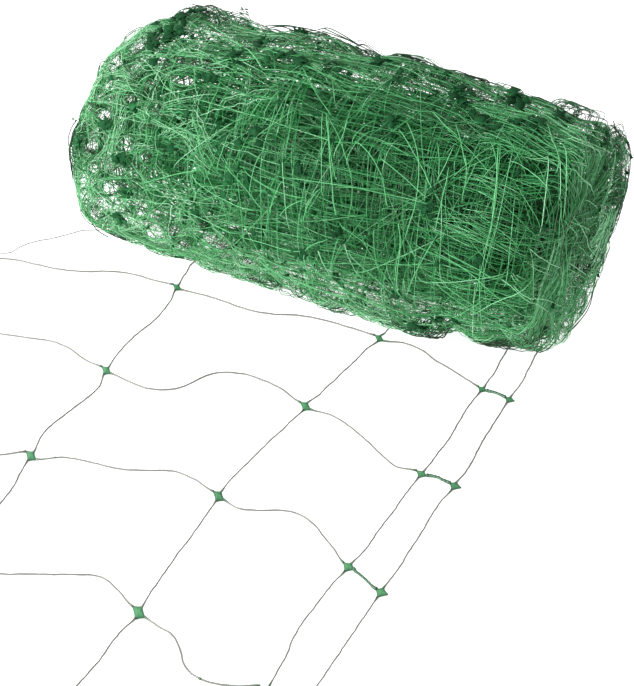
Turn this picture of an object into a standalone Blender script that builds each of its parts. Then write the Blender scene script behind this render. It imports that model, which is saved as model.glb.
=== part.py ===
# A roll of wide-mesh plastic bird netting, lying on a floor with its loose end spread in front of it.
# World frame in metres: +X along the roll, -Y toward the loose end, +Z up.
# The origin is the middle of the flat spot on which the roll lies.

import math

import bmesh
import bpy
from mathutils import Vector

MM = 0.001
GAP = 0.3 * MM  # clearance between the roll and the strands that run under it

# Wound roll
AXIS_HEIGHT = 119 * MM  # above the floor; the roll's underside is pressed flat there
SEAT_RADIUS = 122 * MM  # straight down, a little more than the axis height
SEAT_HALF_ANGLE = 34  # degrees to each side of straight down that belong to the seat
CROWN_ANGLE = 62  # degrees above +Y where the crown radius is taken; the belly radius is opposite
AROUND = 64  # points in each ring
BODY_RINGS = 27
RIM_RINGS = 4
FACE_RINGS = 7
FACE_DISH = 3 * MM  # how far the middle of each end is drawn in
FACE_TURNS = 1.5  # turns of the wound net that show as a spiral swell on each end
FACE_SWELL = 2.5 * MM

# Radius of the wound net along the roll, before its folds and dents are added, in millimetres
SECTIONS = (
    # along, crown, belly
    (-240, 113, 113),
    (-200, 120, 117),
    (-155, 124, 119),
    (-100, 121, 118),
    (-55, 126, 120),
    (-15, 129, 122),
    (30, 123, 124),
    (65, 126, 123),
    (105, 121, 122),
    (140, 117, 122),
    (190, 113, 115),
    (240, 105, 109),
)

# The two ends: how far each reaches along X and how far its rim is rounded off, in millimetres
ENDS = {
    # end: reach at the crown, reach at the belly, rim at the crown, rim at the belly
    "left": (-238, -246, 88, 44),
    "right": (266, 250, 18, 14),
}

# The main twists: folds of the gathered net that run round the roll in a long screw line
TWISTS = (
    # degrees round at the left end, degrees round at the right end, height mm, width in degrees
    (136, 58, 6.0, 11),
    (178, 112, 5.0, 10),
    (208, 176, 6.0, 12),
    (60, 2, 5.0, 11),
    (318, 346, 4.5, 12),
    (88, 158, 4.0, 9),
)

# Where the outer turns are drawn in between two folds
DENTS = (
    # along mm, degrees round, depth mm, length mm, width in degrees
    (172, -128, 11, 9, 20),
    (224, -130, 9, 8, 18),
    (-78, 62, 5, 14, 22),
    (24, 64, 5, 16, 24),
    (-20, 176, 5, 30, 20),
    (128, 140, 4, 26, 16),
)

# Soft crumpling of the surface between the folds
CRUMPLES = (
    # waves along, waves round, height mm, phase in degrees
    (3.0, 5, 1.0, 40),
    (5.5, 3, 0.9, 210),
    (8.0, 7, 0.7, 120),
    (11.0, 2, 0.6, 300),
)

# Loose end: one flat net, its strands fused at the knots
NET_THICKNESS = 1.5 * MM
STRAND_HALF_WIDTH = 0.8 * MM
LINK_HALF_WIDTH = 1.9 * MM  # a selvedge link where it meets its knot
KNOT_REACH = 5.0 * MM  # from a knot's middle to the points where its strands begin
KNOT_WAIST = 2.6 * MM  # from a knot's middle to its side between two strands
TIP_REACH = 7.0 * MM  # the point of a selvedge knot, away from the net
TIP_TURN = math.radians(-7)  # where that point faces
KNOT_SHOULDER = math.radians(34)  # from a strand to the corner before that point
OPEN_SIDE = math.radians(130)  # a knot's side with no strand is wider than this
STUB_LENGTH = 14 * MM  # cut strand ends along the cut edges
ROW_STEPS = 12
COLUMN_STEPS = 7
LINK_STEPS = 4

# Knots of the loose end in millimetres, a row across the net for each letter. Columns 3 and 4
# are the two close cords of the selvedge.
KNOTS = {
    "A": ((-309, -125), (-122, -87), (94, -71), (214, -100), (242, -104)),
    "B": ((-290, -248), (-103, -239), (85, -200), (220, -238), (252, -240)),
    "C": ((-272, -405), (-88, -378), (85, -348), (222, -375), (260, -391)),
    "D": ((-258, -552), (-64, -526), (105, -501), (234, -529), (268, -538)),
    "E": ((-262, -700), (-62, -676), (110, -655), (242, -681), (277, -689)),
}

# Slack of each strand that isn't straight: how far it lies to the left of the straight line
# between its knots, in millimetres, at a sixth, a third, a half, two thirds and five sixths.
SLACK = {
    "A0 A1": (-1, -4, -1, 11, 6),
    "A1 A2": (-3, -7, -2, 7, 5),
    "A2 A3": (9, 12, 8, 6, 3),
    "B0 B1": (3, 8, 13, 20, 7),
    "B1 B2": (-11, -13, 25, 30, 20),
    "B2 B3": (6, 5, 2, -3, -7),
    "C0 C1": (3, 6, -2, -9, -9),
    "C1 C2": (6, 9, 11, 20, 15),
    "C2 C3": (0, 16, 26, 19, 9),
    "D0 D1": (-3, 5, 10, 4, -2),
    "D1 D2": (3, 5, 17, 27, 18),
    "D2 D3": (-1, -2, -17, -21, -9),
    "E0 E1": (4, 8, 3, -4, -2),
    "E1 E2": (-4, -6, 3, 9, 6),
    "E2 E3": (3, 7, 5, -2, -3),
    "A1 B1": (4, 4, 1, -1, -2),
    "B1 C1": (3, 3, 0, -4, -4),
    "A2 B2": (1, 1, 2, 2, 2),
    "B2 C2": (0, -1, -2, -2, -2),
    "A3 B3": (0, 1, 1, 2, 3),
    "B3 C3": (0, 1, 2, 2, 2),
    "C1 D1": (4, 7, 5, 3, 1),
    "D2 E2": (-2, -1, 1, 1, 0),
    "C3 D3": (-2, -4, -5, -4, -3),
    "C4 D4": (-1, -1, -2, -2, -1),
}

# Where each column comes out from under the roll, along X in millimetres, and its slack
ROOTS = (
    # along, slack from the knot of row A toward the roll
    (-236, (7, 13, 12, 12, 12)),
    (-131, (1, 1, 1, 1, 0)),
    (98, (1, 2, 1, 1, 0)),
    (208, (0, 0, 1, 1, 0)),
    (235, (-1, -1, -1, -1, 0)),
)


LEFT_END = ENDS["left"][0] * MM
RIGHT_END = ENDS["right"][0] * MM


def clear_scene():
    for thing in list(bpy.data.objects):
        bpy.data.objects.remove(thing, do_unlink=True)


def material(name, colour, roughness):
    """A plain plastic surface."""
    made = bpy.data.materials.new(name)
    made.use_nodes = True
    shader = made.node_tree.nodes["Principled BSDF"]
    shader.inputs["Base Color"].default_value = (*colour, 1)
    shader.inputs["Roughness"].default_value = roughness
    shader.inputs["Metallic"].default_value = 0
    return made


def smooth(share):
    """0 to 1 with level ends."""
    share = min(max(share, 0), 1)
    return share * share * (3 - 2 * share)


def hump(distance, width):
    """A bell that is 1 at its middle and fades within about twice its width."""
    return math.exp(-((distance / width) ** 2))


def angle_between(first, second):
    """Signed difference of two directions in degrees, -180 to 180."""
    return (first - second + 180) % 360 - 180


def blend(crown, belly, angle):
    """A value between that at the crown and that at the belly."""
    toward_crown = 0.5 + 0.5 * math.cos(math.radians(angle_between(angle, CROWN_ANGLE)))
    return belly + (crown - belly) * toward_crown


def section_radius(along, angle):
    """Radius of the plain wound body, blended smoothly between the rows of SECTIONS."""
    rows = [tuple(value * MM for value in row) for row in SECTIONS]
    along = min(max(along, rows[0][0]), rows[-1][0])
    for low, high in zip(rows, rows[1:]):
        if along <= high[0]:
            break
    share = smooth((along - low[0]) / (high[0] - low[0]))
    crown = low[1] + (high[1] - low[1]) * share
    belly = low[2] + (high[2] - low[2]) * share
    return blend(crown, belly, angle)


def wound_radius(along, angle):
    """Radius with the twists, dents and crumples, which fade out toward the seat."""
    radius = section_radius(along, angle)
    share = (along - LEFT_END) / (RIGHT_END - LEFT_END)
    relief = 0
    for start, end, height, width in TWISTS:
        middle = start + (end - start) * share
        relief += height * MM * hump(angle_between(angle, middle), width)
    for place, middle, depth, length, width in DENTS:
        reach = hump(along - place * MM, length * MM)
        relief -= depth * MM * reach * hump(angle_between(angle, middle), width)
    for waves_along, waves_round, height, phase in CRUMPLES:
        turn = 360 * waves_along * share + waves_round * angle + phase
        relief += height * MM * math.sin(math.radians(turn))
    from_seat = abs(angle_between(angle, -90)) / SEAT_HALF_ANGLE
    radius += relief * smooth(from_seat * 2 - 1)
    return SEAT_RADIUS + (radius - SEAT_RADIUS) * smooth(from_seat)


def end_reach(end, angle):
    """Where the end lies along X at this angle."""
    return blend(*ENDS[end][:2], angle) * MM


def rim_size(end, angle):
    """How far the rim is rounded off at this angle."""
    return blend(*ENDS[end][2:], angle) * MM


def rim_start(end, angle):
    """Where along X the body ends and the rim begins."""
    inward = 1 if end == "left" else -1
    return end_reach(end, angle) + inward * rim_size(end, angle)


def roll_point(along, radius, angle):
    """A point on the roll, pressed up to the floor where it would reach below it."""
    turn = math.radians(angle)
    return Vector((along, radius * math.cos(turn), max(AXIS_HEIGHT + radius * math.sin(turn), 0)))


def ring_angles():
    return [360 * step / AROUND - 90 for step in range(AROUND)]


def face_middle(end):
    """Where the middle of an end face would lie along X if it weren't drawn in."""
    return sum(ENDS[end][:2]) / 2 * MM


def face_ring(end, share):
    """A ring on an end face at this share of the way out to its rim."""
    inward = 1 if end == "left" else -1
    points = []
    for angle in ring_angles():
        outer = wound_radius(rim_start(end, angle), angle) - rim_size(end, angle)
        swell = FACE_SWELL * math.sin(math.radians(angle + 360 * FACE_TURNS * share))
        dish = FACE_DISH * (1 - share * share) - swell * smooth(4 * share * (1 - share))
        flat = face_middle(end) + (end_reach(end, angle) - face_middle(end)) * share
        points.append(roll_point(flat + inward * dish, outer * share, angle))
    return points


def rim_ring(end, step):
    """A ring on the quarter round between the end face and the body."""
    inward = 1 if end == "left" else -1
    turn = math.pi / 2 * step / RIM_RINGS
    points = []
    for angle in ring_angles():
        rim = rim_size(end, angle)
        along = end_reach(end, angle) + inward * rim * (1 - math.cos(turn))
        inner = wound_radius(rim_start(end, angle), angle) - rim
        points.append(roll_point(along, inner + rim * math.sin(turn), angle))
    return points


def body_ring(step):
    """A ring between the two rims."""
    points = []
    for angle in ring_angles():
        first = rim_start("left", angle)
        last = rim_start("right", angle)
        along = first + (last - first) * step / BODY_RINGS
        points.append(roll_point(along, wound_radius(along, angle), angle))
    return points


def roll_rings():
    """All rings in order from the left end's middle to the right end's middle."""
    faces = [step / FACE_RINGS for step in range(1, FACE_RINGS)]
    rings = [face_ring("left", share) for share in faces]
    rings += [rim_ring("left", step) for step in range(RIM_RINGS)]
    rings += [body_ring(step) for step in range(BODY_RINGS + 1)]
    rings += [rim_ring("right", step) for step in reversed(range(RIM_RINGS))]
    rings += [face_ring("right", share) for share in reversed(faces)]
    return rings


def finish(mesh, name, look):
    """Turns a closed bmesh into an object with outward faces and smooth shading."""
    bmesh.ops.recalc_face_normals(mesh, faces=mesh.faces)
    data = bpy.data.meshes.new(name)
    mesh.to_mesh(data)
    mesh.free()
    data.materials.append(look)
    data.shade_smooth()
    data.set_sharp_from_angle(angle=math.radians(40))
    made = bpy.data.objects.new(name, data)
    bpy.context.collection.objects.link(made)
    return made


def build_roll():
    """The wound net as one closed solid of bridged rings."""
    mesh = bmesh.new()
    rings = [[mesh.verts.new(point) for point in ring] for ring in roll_rings()]
    for near, far in zip(rings, rings[1:]):
        for here in range(AROUND):
            after = (here + 1) % AROUND
            mesh.faces.new((near[here], near[after], far[after], far[here]))
    for end, inward, ring in (("left", 1, rings[0]), ("right", -1, rings[-1])):
        middle = mesh.verts.new((face_middle(end) + inward * FACE_DISH, 0, AXIS_HEIGHT))
        for here in range(AROUND):
            mesh.faces.new((ring[here], ring[(here + 1) % AROUND], middle))
    return finish(mesh, "roll", material("wound netting", (0.07, 0.24, 0.10), 0.5))


def underside(along, across):
    """Height of the roll's underside over a point of the floor."""
    angle = -90 - math.degrees(math.atan2(-across, AXIS_HEIGHT))
    best = AXIS_HEIGHT
    for step in range(-12, 13):
        turn = math.radians(angle + step)
        radius = wound_radius(along, angle + step)
        if abs(radius * math.cos(turn) - across) < 2 * MM:
            best = min(best, AXIS_HEIGHT + radius * math.sin(turn))
    return best


def root_end(along):
    """How far under the roll a strand can reach before it would touch the underside."""
    across = -70 * MM
    while across < -20 * MM and underside(along, across) > NET_THICKNESS + GAP:
        across += 0.5 * MM
    return across - 0.5 * MM


def curve_through(stops, place):
    """A smooth curve's height at this place, counted in stops, as it passes through all of them."""
    last = len(stops) - 1
    here = min(int(place), last - 1)
    near, far = stops[here], stops[here + 1]
    before, beyond = stops[max(here - 1, 0)], stops[min(here + 2, last)]
    t = place - here
    bend = 2 * before - 5 * near + 4 * far - beyond
    sway = 3 * (near - far) + beyond - before
    return near + t * (far - before + t * (bend + t * sway)) / 2


def strand_route(start, end, slack, steps, trim_start, trim_end):
    """Centre line from just outside one knot to just outside the next, bowed by its slack."""
    chord = end - start
    left = Vector((-chord.y, chord.x)).normalized()
    stops = [0] + [value * MM for value in slack] + [0]
    first = trim_start / chord.length
    last = 1 - trim_end / chord.length
    route = []
    for step in range(steps + 1):
        share = first + (last - first) * step / steps
        bow = curve_through(stops, share * (len(stops) - 1))
        route.append(start + chord * share + left * bow)
    return route


def strand_sides(route, widths):
    """The two edges of a flat strand along its centre line."""
    lefts, rights = [], []
    for here, point in enumerate(route):
        tangent = route[min(here + 1, len(route) - 1)] - route[max(here - 1, 0)]
        normal = Vector((-tangent.y, tangent.x)).normalized() * widths[here]
        lefts.append(point + normal)
        rights.append(point - normal)
    return lefts, rights


def around(centre, turn, reach):
    """A point at this reach from a centre, in the direction of this turn in radians."""
    return centre + Vector((math.cos(turn), math.sin(turn))) * reach


class FlatNet:
    """Strands and knots laid out flat as faces that share their edges, ready to be thickened."""

    def __init__(self):
        self.mesh = bmesh.new()
        self.ports = {}

    def corner(self, point):
        return self.mesh.verts.new((point.x, point.y, 0))

    def strand(self, name_a, name_b, route, end_width):
        """Lays a strand of quads and notes the pair of corners that it brings to each knot."""
        steps = len(route) - 1
        widths = []
        for step in range(steps + 1):
            share = step / steps
            near_knot = max(hump(share, 0.28), hump(1 - share, 0.28)) if name_b else 0
            widths.append(STRAND_HALF_WIDTH + (end_width - STRAND_HALF_WIDTH) * near_knot)
        lefts, rights = strand_sides(route, widths)
        lefts = [self.corner(point) for point in lefts]
        rights = [self.corner(point) for point in rights]
        for here in range(steps):
            self.mesh.faces.new((rights[here], rights[here + 1], lefts[here + 1], lefts[here]))
        self.ports.setdefault(name_a, []).append((rights[0], lefts[0]))
        if name_b:
            self.ports.setdefault(name_b, []).append((lefts[-1], rights[-1]))

    def knot(self, name, centre, tip):
        """One flat four-pointed plate that joins the strands' ends around its middle."""

        def direction(port):
            middle = (port[0].co.xy + port[1].co.xy) / 2 - centre
            return math.atan2(middle.y, middle.x)

        ports = sorted(self.ports[name], key=direction)
        outline = []
        for here, port in enumerate(ports):
            outline += list(port)
            turn = direction(port)
            opening = (direction(ports[(here + 1) % len(ports)]) - turn) % (2 * math.pi)
            middle = turn + opening / 2
            if tip is not None and opening > OPEN_SIDE:
                outline.append(self.corner(around(centre, turn + KNOT_SHOULDER, KNOT_WAIST)))
                outline.append(self.corner(around(centre, tip, TIP_REACH)))
                middle = turn + opening - KNOT_SHOULDER
            outline.append(self.corner(around(centre, middle, KNOT_WAIST)))
        self.mesh.faces.new(outline)

    def thicken(self):
        """Raises a copy of every face to the net's thickness and walls the edges between."""
        faces = list(self.mesh.faces)
        raised = bmesh.ops.extrude_face_region(self.mesh, geom=faces, use_keep_orig=True)
        tops = [item for item in raised["geom"] if isinstance(item, bmesh.types.BMVert)]
        bmesh.ops.translate(self.mesh, verts=tops, vec=(0, 0, NET_THICKNESS))
        bmesh.ops.triangulate(self.mesh, faces=self.mesh.faces)


def knot_points():
    """Every knot's place by name, such as B2."""
    return {
        row + str(column): Vector((x * MM, y * MM))
        for row, points in KNOTS.items()
        for column, (x, y) in enumerate(points)
    }


def build_tail():
    """The loose end of the net, spread flat on the floor in front of the roll."""
    knots = knot_points()
    net = FlatNet()
    rows = list(KNOTS)
    level = (0, 0, 0, 0, 0)

    def join(first, second, steps, end_width):
        slack = SLACK.get(f"{first} {second}", level)
        route = strand_route(knots[first], knots[second], slack, steps, KNOT_REACH, KNOT_REACH)
        net.strand(first, second, route, end_width)

    def stub(name, away):
        route = [knots[name] + away * reach for reach in (KNOT_REACH, STUB_LENGTH)]
        net.strand(name, None, route, STRAND_HALF_WIDTH)

    for row in rows:
        for column in range(3):
            join(f"{row}{column}", f"{row}{column + 1}", ROW_STEPS, STRAND_HALF_WIDTH)
        join(f"{row}3", f"{row}4", LINK_STEPS, LINK_HALF_WIDTH)
        stub(f"{row}0", Vector((-1, -0.1)).normalized())
    for upper, lower in zip(rows, rows[1:]):
        for column in range(5):
            join(f"{upper}{column}", f"{lower}{column}", COLUMN_STEPS, STRAND_HALF_WIDTH)
    for column, (along, slack) in enumerate(ROOTS):
        end = Vector((along * MM, root_end(along * MM)))
        route = strand_route(knots[f"A{column}"], end, slack, COLUMN_STEPS, KNOT_REACH, 0)
        net.strand(f"A{column}", None, route, STRAND_HALF_WIDTH)
        stub(f"E{column}", Vector((0.05, -1)).normalized())
    for name, centre in knots.items():
        net.knot(name, centre, TIP_TURN if name.endswith("4") else None)
    net.thicken()
    return finish(net.mesh, "net_tail", material("loose netting", (0.16, 0.27, 0.13), 0.5))


clear_scene()
build_roll()
build_tail()
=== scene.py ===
import math

import bpy
import numpy as np
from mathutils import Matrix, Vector
from mathutils.bvhtree import BVHTree


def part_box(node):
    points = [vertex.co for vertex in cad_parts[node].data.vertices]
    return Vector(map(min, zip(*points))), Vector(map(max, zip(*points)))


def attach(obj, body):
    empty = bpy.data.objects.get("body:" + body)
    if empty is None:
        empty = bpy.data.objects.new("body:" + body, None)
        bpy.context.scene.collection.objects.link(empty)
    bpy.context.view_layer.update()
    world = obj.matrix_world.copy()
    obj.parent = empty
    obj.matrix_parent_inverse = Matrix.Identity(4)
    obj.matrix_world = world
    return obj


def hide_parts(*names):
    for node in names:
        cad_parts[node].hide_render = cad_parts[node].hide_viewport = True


# A roll of wide-mesh plastic bird netting with its loose end spread on the floor before it.
# The frame is metres: +X along the roll, -Y toward the loose end, +Z up.
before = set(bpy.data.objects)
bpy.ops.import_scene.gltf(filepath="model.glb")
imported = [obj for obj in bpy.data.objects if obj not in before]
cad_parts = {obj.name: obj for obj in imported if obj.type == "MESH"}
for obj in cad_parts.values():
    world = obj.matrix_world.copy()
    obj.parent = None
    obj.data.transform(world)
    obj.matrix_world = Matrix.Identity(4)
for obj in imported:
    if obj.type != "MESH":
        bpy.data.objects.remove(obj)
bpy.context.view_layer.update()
mm = 0.001
fullTurn = 2 * math.pi
mostTriangles = 190000  # in a piece of the wound net
batchTriangles = 90000  # families of strands are joined until they have more than this


# Camera, light and floor
cameraSettings = {
    "place": (0.7590, -1.4059, 1.000),
    "azimuth": 28.757,  # degrees turned to the right of the roll's front
    "elevation": 34.0,
    "lens": 99.71,  # mm, with the sensor's width
    "sensor": 36.0,
    "clip": (0.05, 50.0),
}
lightSettings = {
    "horizon": 1.15,  # strength of the sky low down
    "zenith": 0.6,  # and overhead
    "key": {"place": (-1.0, -1.5, 1.1), "aim": (0.0, -0.05, 0.1), "size": 0.9, "power": 60.0},
}
floorSettings = {
    "halfSize": 4.0,
    "depth": 0.6 * mm,  # how far it lies below height 0
    "colour": (0.55, 0.55, 0.55),
    "glow": 0.88,
    "roughness": 0.9,
    "gloss": 0.1,
}


def makeCamera():
    data = bpy.data.cameras.new("camera")
    data.lens = cameraSettings["lens"]
    data.sensor_width = cameraSettings["sensor"]
    data.clip_start, data.clip_end = cameraSettings["clip"]
    camera = bpy.data.objects.new("camera", data)
    camera.location = cameraSettings["place"]
    turn = math.radians(cameraSettings["azimuth"])
    camera.rotation_euler = (math.radians(90 - cameraSettings["elevation"]), 0, turn)
    bpy.context.scene.collection.objects.link(camera)
    bpy.context.scene.camera = camera


def makeLight(name, place, aim, size, power):
    # A square soft box that looks at the place it aims at
    data = bpy.data.lights.new(name, "AREA")
    data.shape = "SQUARE"
    data.size = size
    data.energy = power
    lamp = bpy.data.objects.new(name, data)
    lamp.location = place
    way = Vector(aim) - Vector(place)
    lamp.rotation_euler = way.to_track_quat("-Z", "Y").to_euler()
    bpy.context.scene.collection.objects.link(lamp)


def makeStudio():
    # White light from all round, its strength going from low down to overhead, and the key light
    world = bpy.data.worlds.new("studio")
    world.use_nodes = True
    base = Wire(world.node_tree)
    way = base.node("ShaderNodeTexCoord", output="Generated")
    height = base.node("ShaderNodeSeparateXYZ", {}, {"Vector": way}, output="Z").clipped()
    low, high = lightSettings["horizon"], lightSettings["zenith"]
    sky = world.node_tree.nodes["Background"]
    sky.inputs["Color"].default_value = (1.0, 1.0, 1.0, 1.0)
    base.tree.links.new((height * (high - low) + low).socket, sky.inputs["Strength"])
    bpy.context.scene.world = world
    bpy.context.scene.view_settings.view_transform = "Standard"
    makeLight("key", **lightSettings["key"])


class Wire:
    # One socket of a material. Arithmetic on it adds Math nodes, so 1 - mask works.
    def __init__(self, tree, socket=None):
        self.tree = tree
        self.socket = socket

    def node(self, kind, settings=None, inputs=None, output=0):
        # Adds any node: its settings first, then the values or links of its sockets
        made = self.tree.nodes.new(kind)
        for name, value in (settings or {}).items():
            if name == "stops":
                ramp = made.color_ramp.elements
                while len(ramp) < len(value):
                    ramp.new(0.5)
                for stop, (place, colour) in zip(ramp, value):
                    stop.position = place
                    stop.color = (*colour, 1.0)
            else:
                setattr(made, name, value)
        for name, value in (inputs or {}).items():
            if isinstance(value, Wire):
                self.tree.links.new(value.socket, made.inputs[name])
            else:
                made.inputs[name].default_value = value
        return Wire(self.tree, made.outputs[output])

    def maths(self, operation, first, second):
        return self.node("ShaderNodeMath", {"operation": operation}, {0: first, 1: second})

    def __add__(self, other):
        return self.maths("ADD", self, other)

    __radd__ = __add__

    def __sub__(self, other):
        return self.maths("SUBTRACT", self, other)

    def __rsub__(self, other):
        return self.maths("SUBTRACT", other, self)

    def __mul__(self, other):
        return self.maths("MULTIPLY", self, other)

    __rmul__ = __mul__

    def clipped(self):
        return self.node("ShaderNodeMath", {"operation": "ADD", "use_clamp": True}, {0: self, 1: 0.0})


makeCamera()
makeStudio()
print("camera and light ready")


def noise(base, place, scale, detail=2.0):
    inputs = {"Vector": place, "Scale": scale, "Detail": detail}
    return base.node("ShaderNodeTexNoise", {}, inputs)


def newMaterial(name):
    made = bpy.data.materials.new(name)
    made.use_nodes = True
    return made, Wire(made.node_tree)


def floorMaterial():
    made, _ = newMaterial("studio floor")
    shader = made.node_tree.nodes["Principled BSDF"]
    shader.inputs["Base Color"].default_value = (*floorSettings["colour"], 1.0)
    shader.inputs["Roughness"].default_value = floorSettings["roughness"]
    shader.inputs["Specular IOR Level"].default_value = floorSettings["gloss"]
    shader.inputs["Emission Color"].default_value = (1.0, 1.0, 1.0, 1.0)
    shader.inputs["Emission Strength"].default_value = floorSettings["glow"]
    return made


def plasticMaterial(name, look):
    # Drawn plastic: its hue runs from dark to light by each strand's tone, which holds its own random tone
    # and painted light and shade, with a slow drift along the net, scuffed roughness and a fine grain, and
    # light may pass through
    made, base = newMaterial(name)
    shader = made.node_tree.nodes["Principled BSDF"]
    place = base.node("ShaderNodeTexCoord", output="Object")
    tone = base.node("ShaderNodeAttribute", {"attribute_name": "tone"}, output="Fac")
    drift = noise(base, place, look["driftScale"])
    mixed = (tone * look["toneShare"] + drift * (1 - look["toneShare"])).clipped()
    colour = base.node("ShaderNodeValToRGB", {"stops": look["colours"]}, {"Fac": mixed})
    base.tree.links.new(colour.socket, shader.inputs["Base Color"])
    scuff = noise(base, place, look["scuffScale"], look["detail"])
    low, high = look["roughness"]
    base.tree.links.new((scuff * (high - low) + low).socket, shader.inputs["Roughness"])
    grain = noise(base, place, look["grainScale"], look["detail"])
    relief = {"Height": grain, "Strength": look["grain"], "Distance": look["grainDepth"]}
    bump = base.node("ShaderNodeBump", {}, relief)
    base.tree.links.new(bump.socket, shader.inputs["Normal"])
    shader.inputs["Specular IOR Level"].default_value = look["gloss"]
    if look["through"] > 0:
        glow = base.node("ShaderNodeBsdfTranslucent", {}, {"Color": (*look["throughColour"], 1.0)})
        solid = Wire(base.tree, shader.outputs[0])
        both = base.node("ShaderNodeMixShader", {}, {0: look["through"], 1: solid, 2: glow})
        base.tree.links.new(both.socket, made.node_tree.nodes["Material Output"].inputs["Surface"])
    return made


woundLook = {
    "toneShare": 0.88,
    "driftScale": 9.0,
    "colours": (
        (0.00, (0.014, 0.070, 0.025)),
        (0.07, (0.015, 0.110, 0.031)),
        (0.42, (0.045, 0.333, 0.101)),
        (0.75, (0.180, 0.620, 0.268)),
        (1.00, (0.460, 0.830, 0.540)),
    ),
    "scuffScale": 140.0,
    "roughness": (0.22, 0.42),
    "grainScale": 900.0,
    "grain": 0.25,
    "grainDepth": 0.4 * mm,
    "detail": 3.0,
    "gloss": 0.65,
    "through": 0.32,
    "throughColour": (0.16, 0.72, 0.25),
}
# Painted shade: strands at the roll's outline, across its gaps and deep at the right end, dark as seen
# against the light
paintedShadeLook = dict(woundLook, colours=(
    (0.06, (0.034, 0.044, 0.028)),
    (0.20, (0.016, 0.072, 0.028)),
    (0.45, (0.020, 0.130, 0.045)),
    (0.85, (0.055, 0.290, 0.100)),
), gloss=0.3, through=0.0)
knotLook = dict(woundLook, colours=(
    (0.15, (0.003, 0.036, 0.010)),
    (0.50, (0.007, 0.066, 0.019)),
    (0.85, (0.022, 0.165, 0.050)),
), roughness=(0.6, 0.85), gloss=0.12, through=0.0)
looseStrandLook = dict(woundLook, colours=(
    (0.15, (0.145, 0.135, 0.124)),
    (0.55, (0.170, 0.170, 0.148)),
    (0.90, (0.036, 0.110, 0.052)),
), gloss=0.5, through=0.0)
looseKnotLook = dict(woundLook, colours=(
    (0.15, (0.024, 0.078, 0.034)),
    (0.50, (0.046, 0.178, 0.076)),
    (0.85, (0.082, 0.285, 0.122)),
), grain=0.5, gloss=0.5, through=0.0)


def makeMesh(name, points, faces, look, tones=None, cells=None):
    # faces are arrays of corner indices, one array for each face size
    data = bpy.data.meshes.new(name)
    corners = np.concatenate([part.ravel() for part in faces]).astype(np.int32)
    sizes = np.concatenate([np.full(len(part), part.shape[1]) for part in faces])
    starts = np.concatenate([[0], np.cumsum(sizes)[:-1]]).astype(np.int32)
    data.vertices.add(len(points))
    data.vertices.foreach_set("co", points.astype(np.float32).ravel())
    data.loops.add(len(corners))
    data.loops.foreach_set("vertex_index", corners)
    data.polygons.add(len(sizes))
    data.polygons.foreach_set("loop_start", starts)
    data.update(calc_edges=True)
    if tones is not None:
        layer = data.attributes.new("tone", "FLOAT", "POINT")
        layer.data.foreach_set("value", tones.astype(np.float32).ravel())
    if cells is not None:
        layer = data.uv_layers.new(name="OFBake")
        layer.uv.foreach_set("vector", cells.astype(np.float32).ravel())
    data.materials.append(look)
    data.shade_smooth()
    made = bpy.data.objects.new(name, data)
    bpy.context.scene.collection.objects.link(made)
    return made


def unit(vectors):
    return vectors / np.maximum(np.linalg.norm(vectors, axis=-1, keepdims=True), 1e-9)


def tubes(lines, radii, outward, tones, sides):
    # Round strands. A point of a tube is its line's point plus radius times
    # (cos angle * side + sin angle * lift), side lying across the line and outward.
    count, steps = lines.shape[:2]
    along = np.gradient(lines, axis=1)
    side = unit(np.cross(along, outward))
    lift = unit(np.cross(side, along))
    angles = fullTurn * np.arange(sides) / sides
    ring = np.cos(angles)[:, None] * side[:, :, None] + np.sin(angles)[:, None] * lift[:, :, None]
    points = lines[:, :, None] + radii[:, :, None, None] * ring
    index = np.arange(count * steps * sides).reshape(count, steps, sides)
    after = np.roll(index, -1, axis=2)
    quads = np.stack([index[:, :-1], after[:, :-1], after[:, 1:], index[:, 1:]], -1)
    caps = np.stack([index[:, 0, ::-1], index[:, -1]], 1)
    shades = np.broadcast_to(tones[:, :, None], (count, steps, sides))
    return {
        "points": points.reshape(-1, 3),
        "quads": quads.reshape(count, -1, 4),
        "caps": caps.reshape(count, -1, sides),
        "tones": shades.ravel(),
        "steps": steps,
    }


def strandCells(count, steps, sides, first, total):
    # Each strand's own small cell of the map: across the cell round it and up the cell along it
    grid = math.ceil(math.sqrt(total))
    order = first + np.arange(count)
    origin = np.stack([order % grid, order // grid], -1) / grid
    step, side = np.meshgrid(np.arange(steps - 1), np.arange(sides), indexing="ij")
    across = np.stack([side, side + 1, side + 1, side], -1) / sides
    up = np.stack([step, step, step + 1, step + 1], -1) / (steps - 1)
    quads = np.stack([across, up], -1).reshape(-1, 2)
    ends = np.zeros((2, sides, 2))
    ends[..., 0] = np.arange(sides) / sides
    ends[1, :, 1] = 1
    margin = 0.08  # of a cell
    inCell = (margin + (1 - 2 * margin) * np.concatenate([quads, ends.reshape(-1, 2)])) / grid
    quadCorners = len(quads)
    placed = origin[:, None] + inCell
    return placed[:, :quadCorners], placed[:, quadCorners:]


def evenTubes(lines, radii, outward, tones, sides):
    # Strands that each have one radius and one tone from end to end
    full = np.zeros(lines.shape[:2])
    radii, tones = (np.reshape(values, (-1, 1)) + full for values in (radii, tones))
    return tubes(lines, radii, outward, tones, sides)


def countTriangles(groups):
    return sum(2 * len(group["quads"]) * group["quads"].shape[1] for group in groups)


def joinStrands(name, groups, look, sides):
    # One mesh from several groups of strands
    total = sum(len(group["quads"]) for group in groups)
    offset, first, quads, caps, quadCells, capCells = 0, 0, [], [], [], []
    for group in groups:
        count = len(group["quads"])
        quads.append(group["quads"].reshape(-1, 4) + offset)
        caps.append(group["caps"].reshape(-1, sides) + offset)
        inQuads, inCaps = strandCells(count, group["steps"], sides, first, total)
        quadCells.append(inQuads.reshape(-1, 2))
        capCells.append(inCaps.reshape(-1, 2))
        offset += len(group["points"])
        first += count
    points = np.concatenate([group["points"] for group in groups])
    tones = np.concatenate([group["tones"] for group in groups])
    cells = np.concatenate(quadCells + capCells)
    return makeMesh(name, points, [np.concatenate(quads), np.concatenate(caps)], look, tones, cells)


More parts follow.
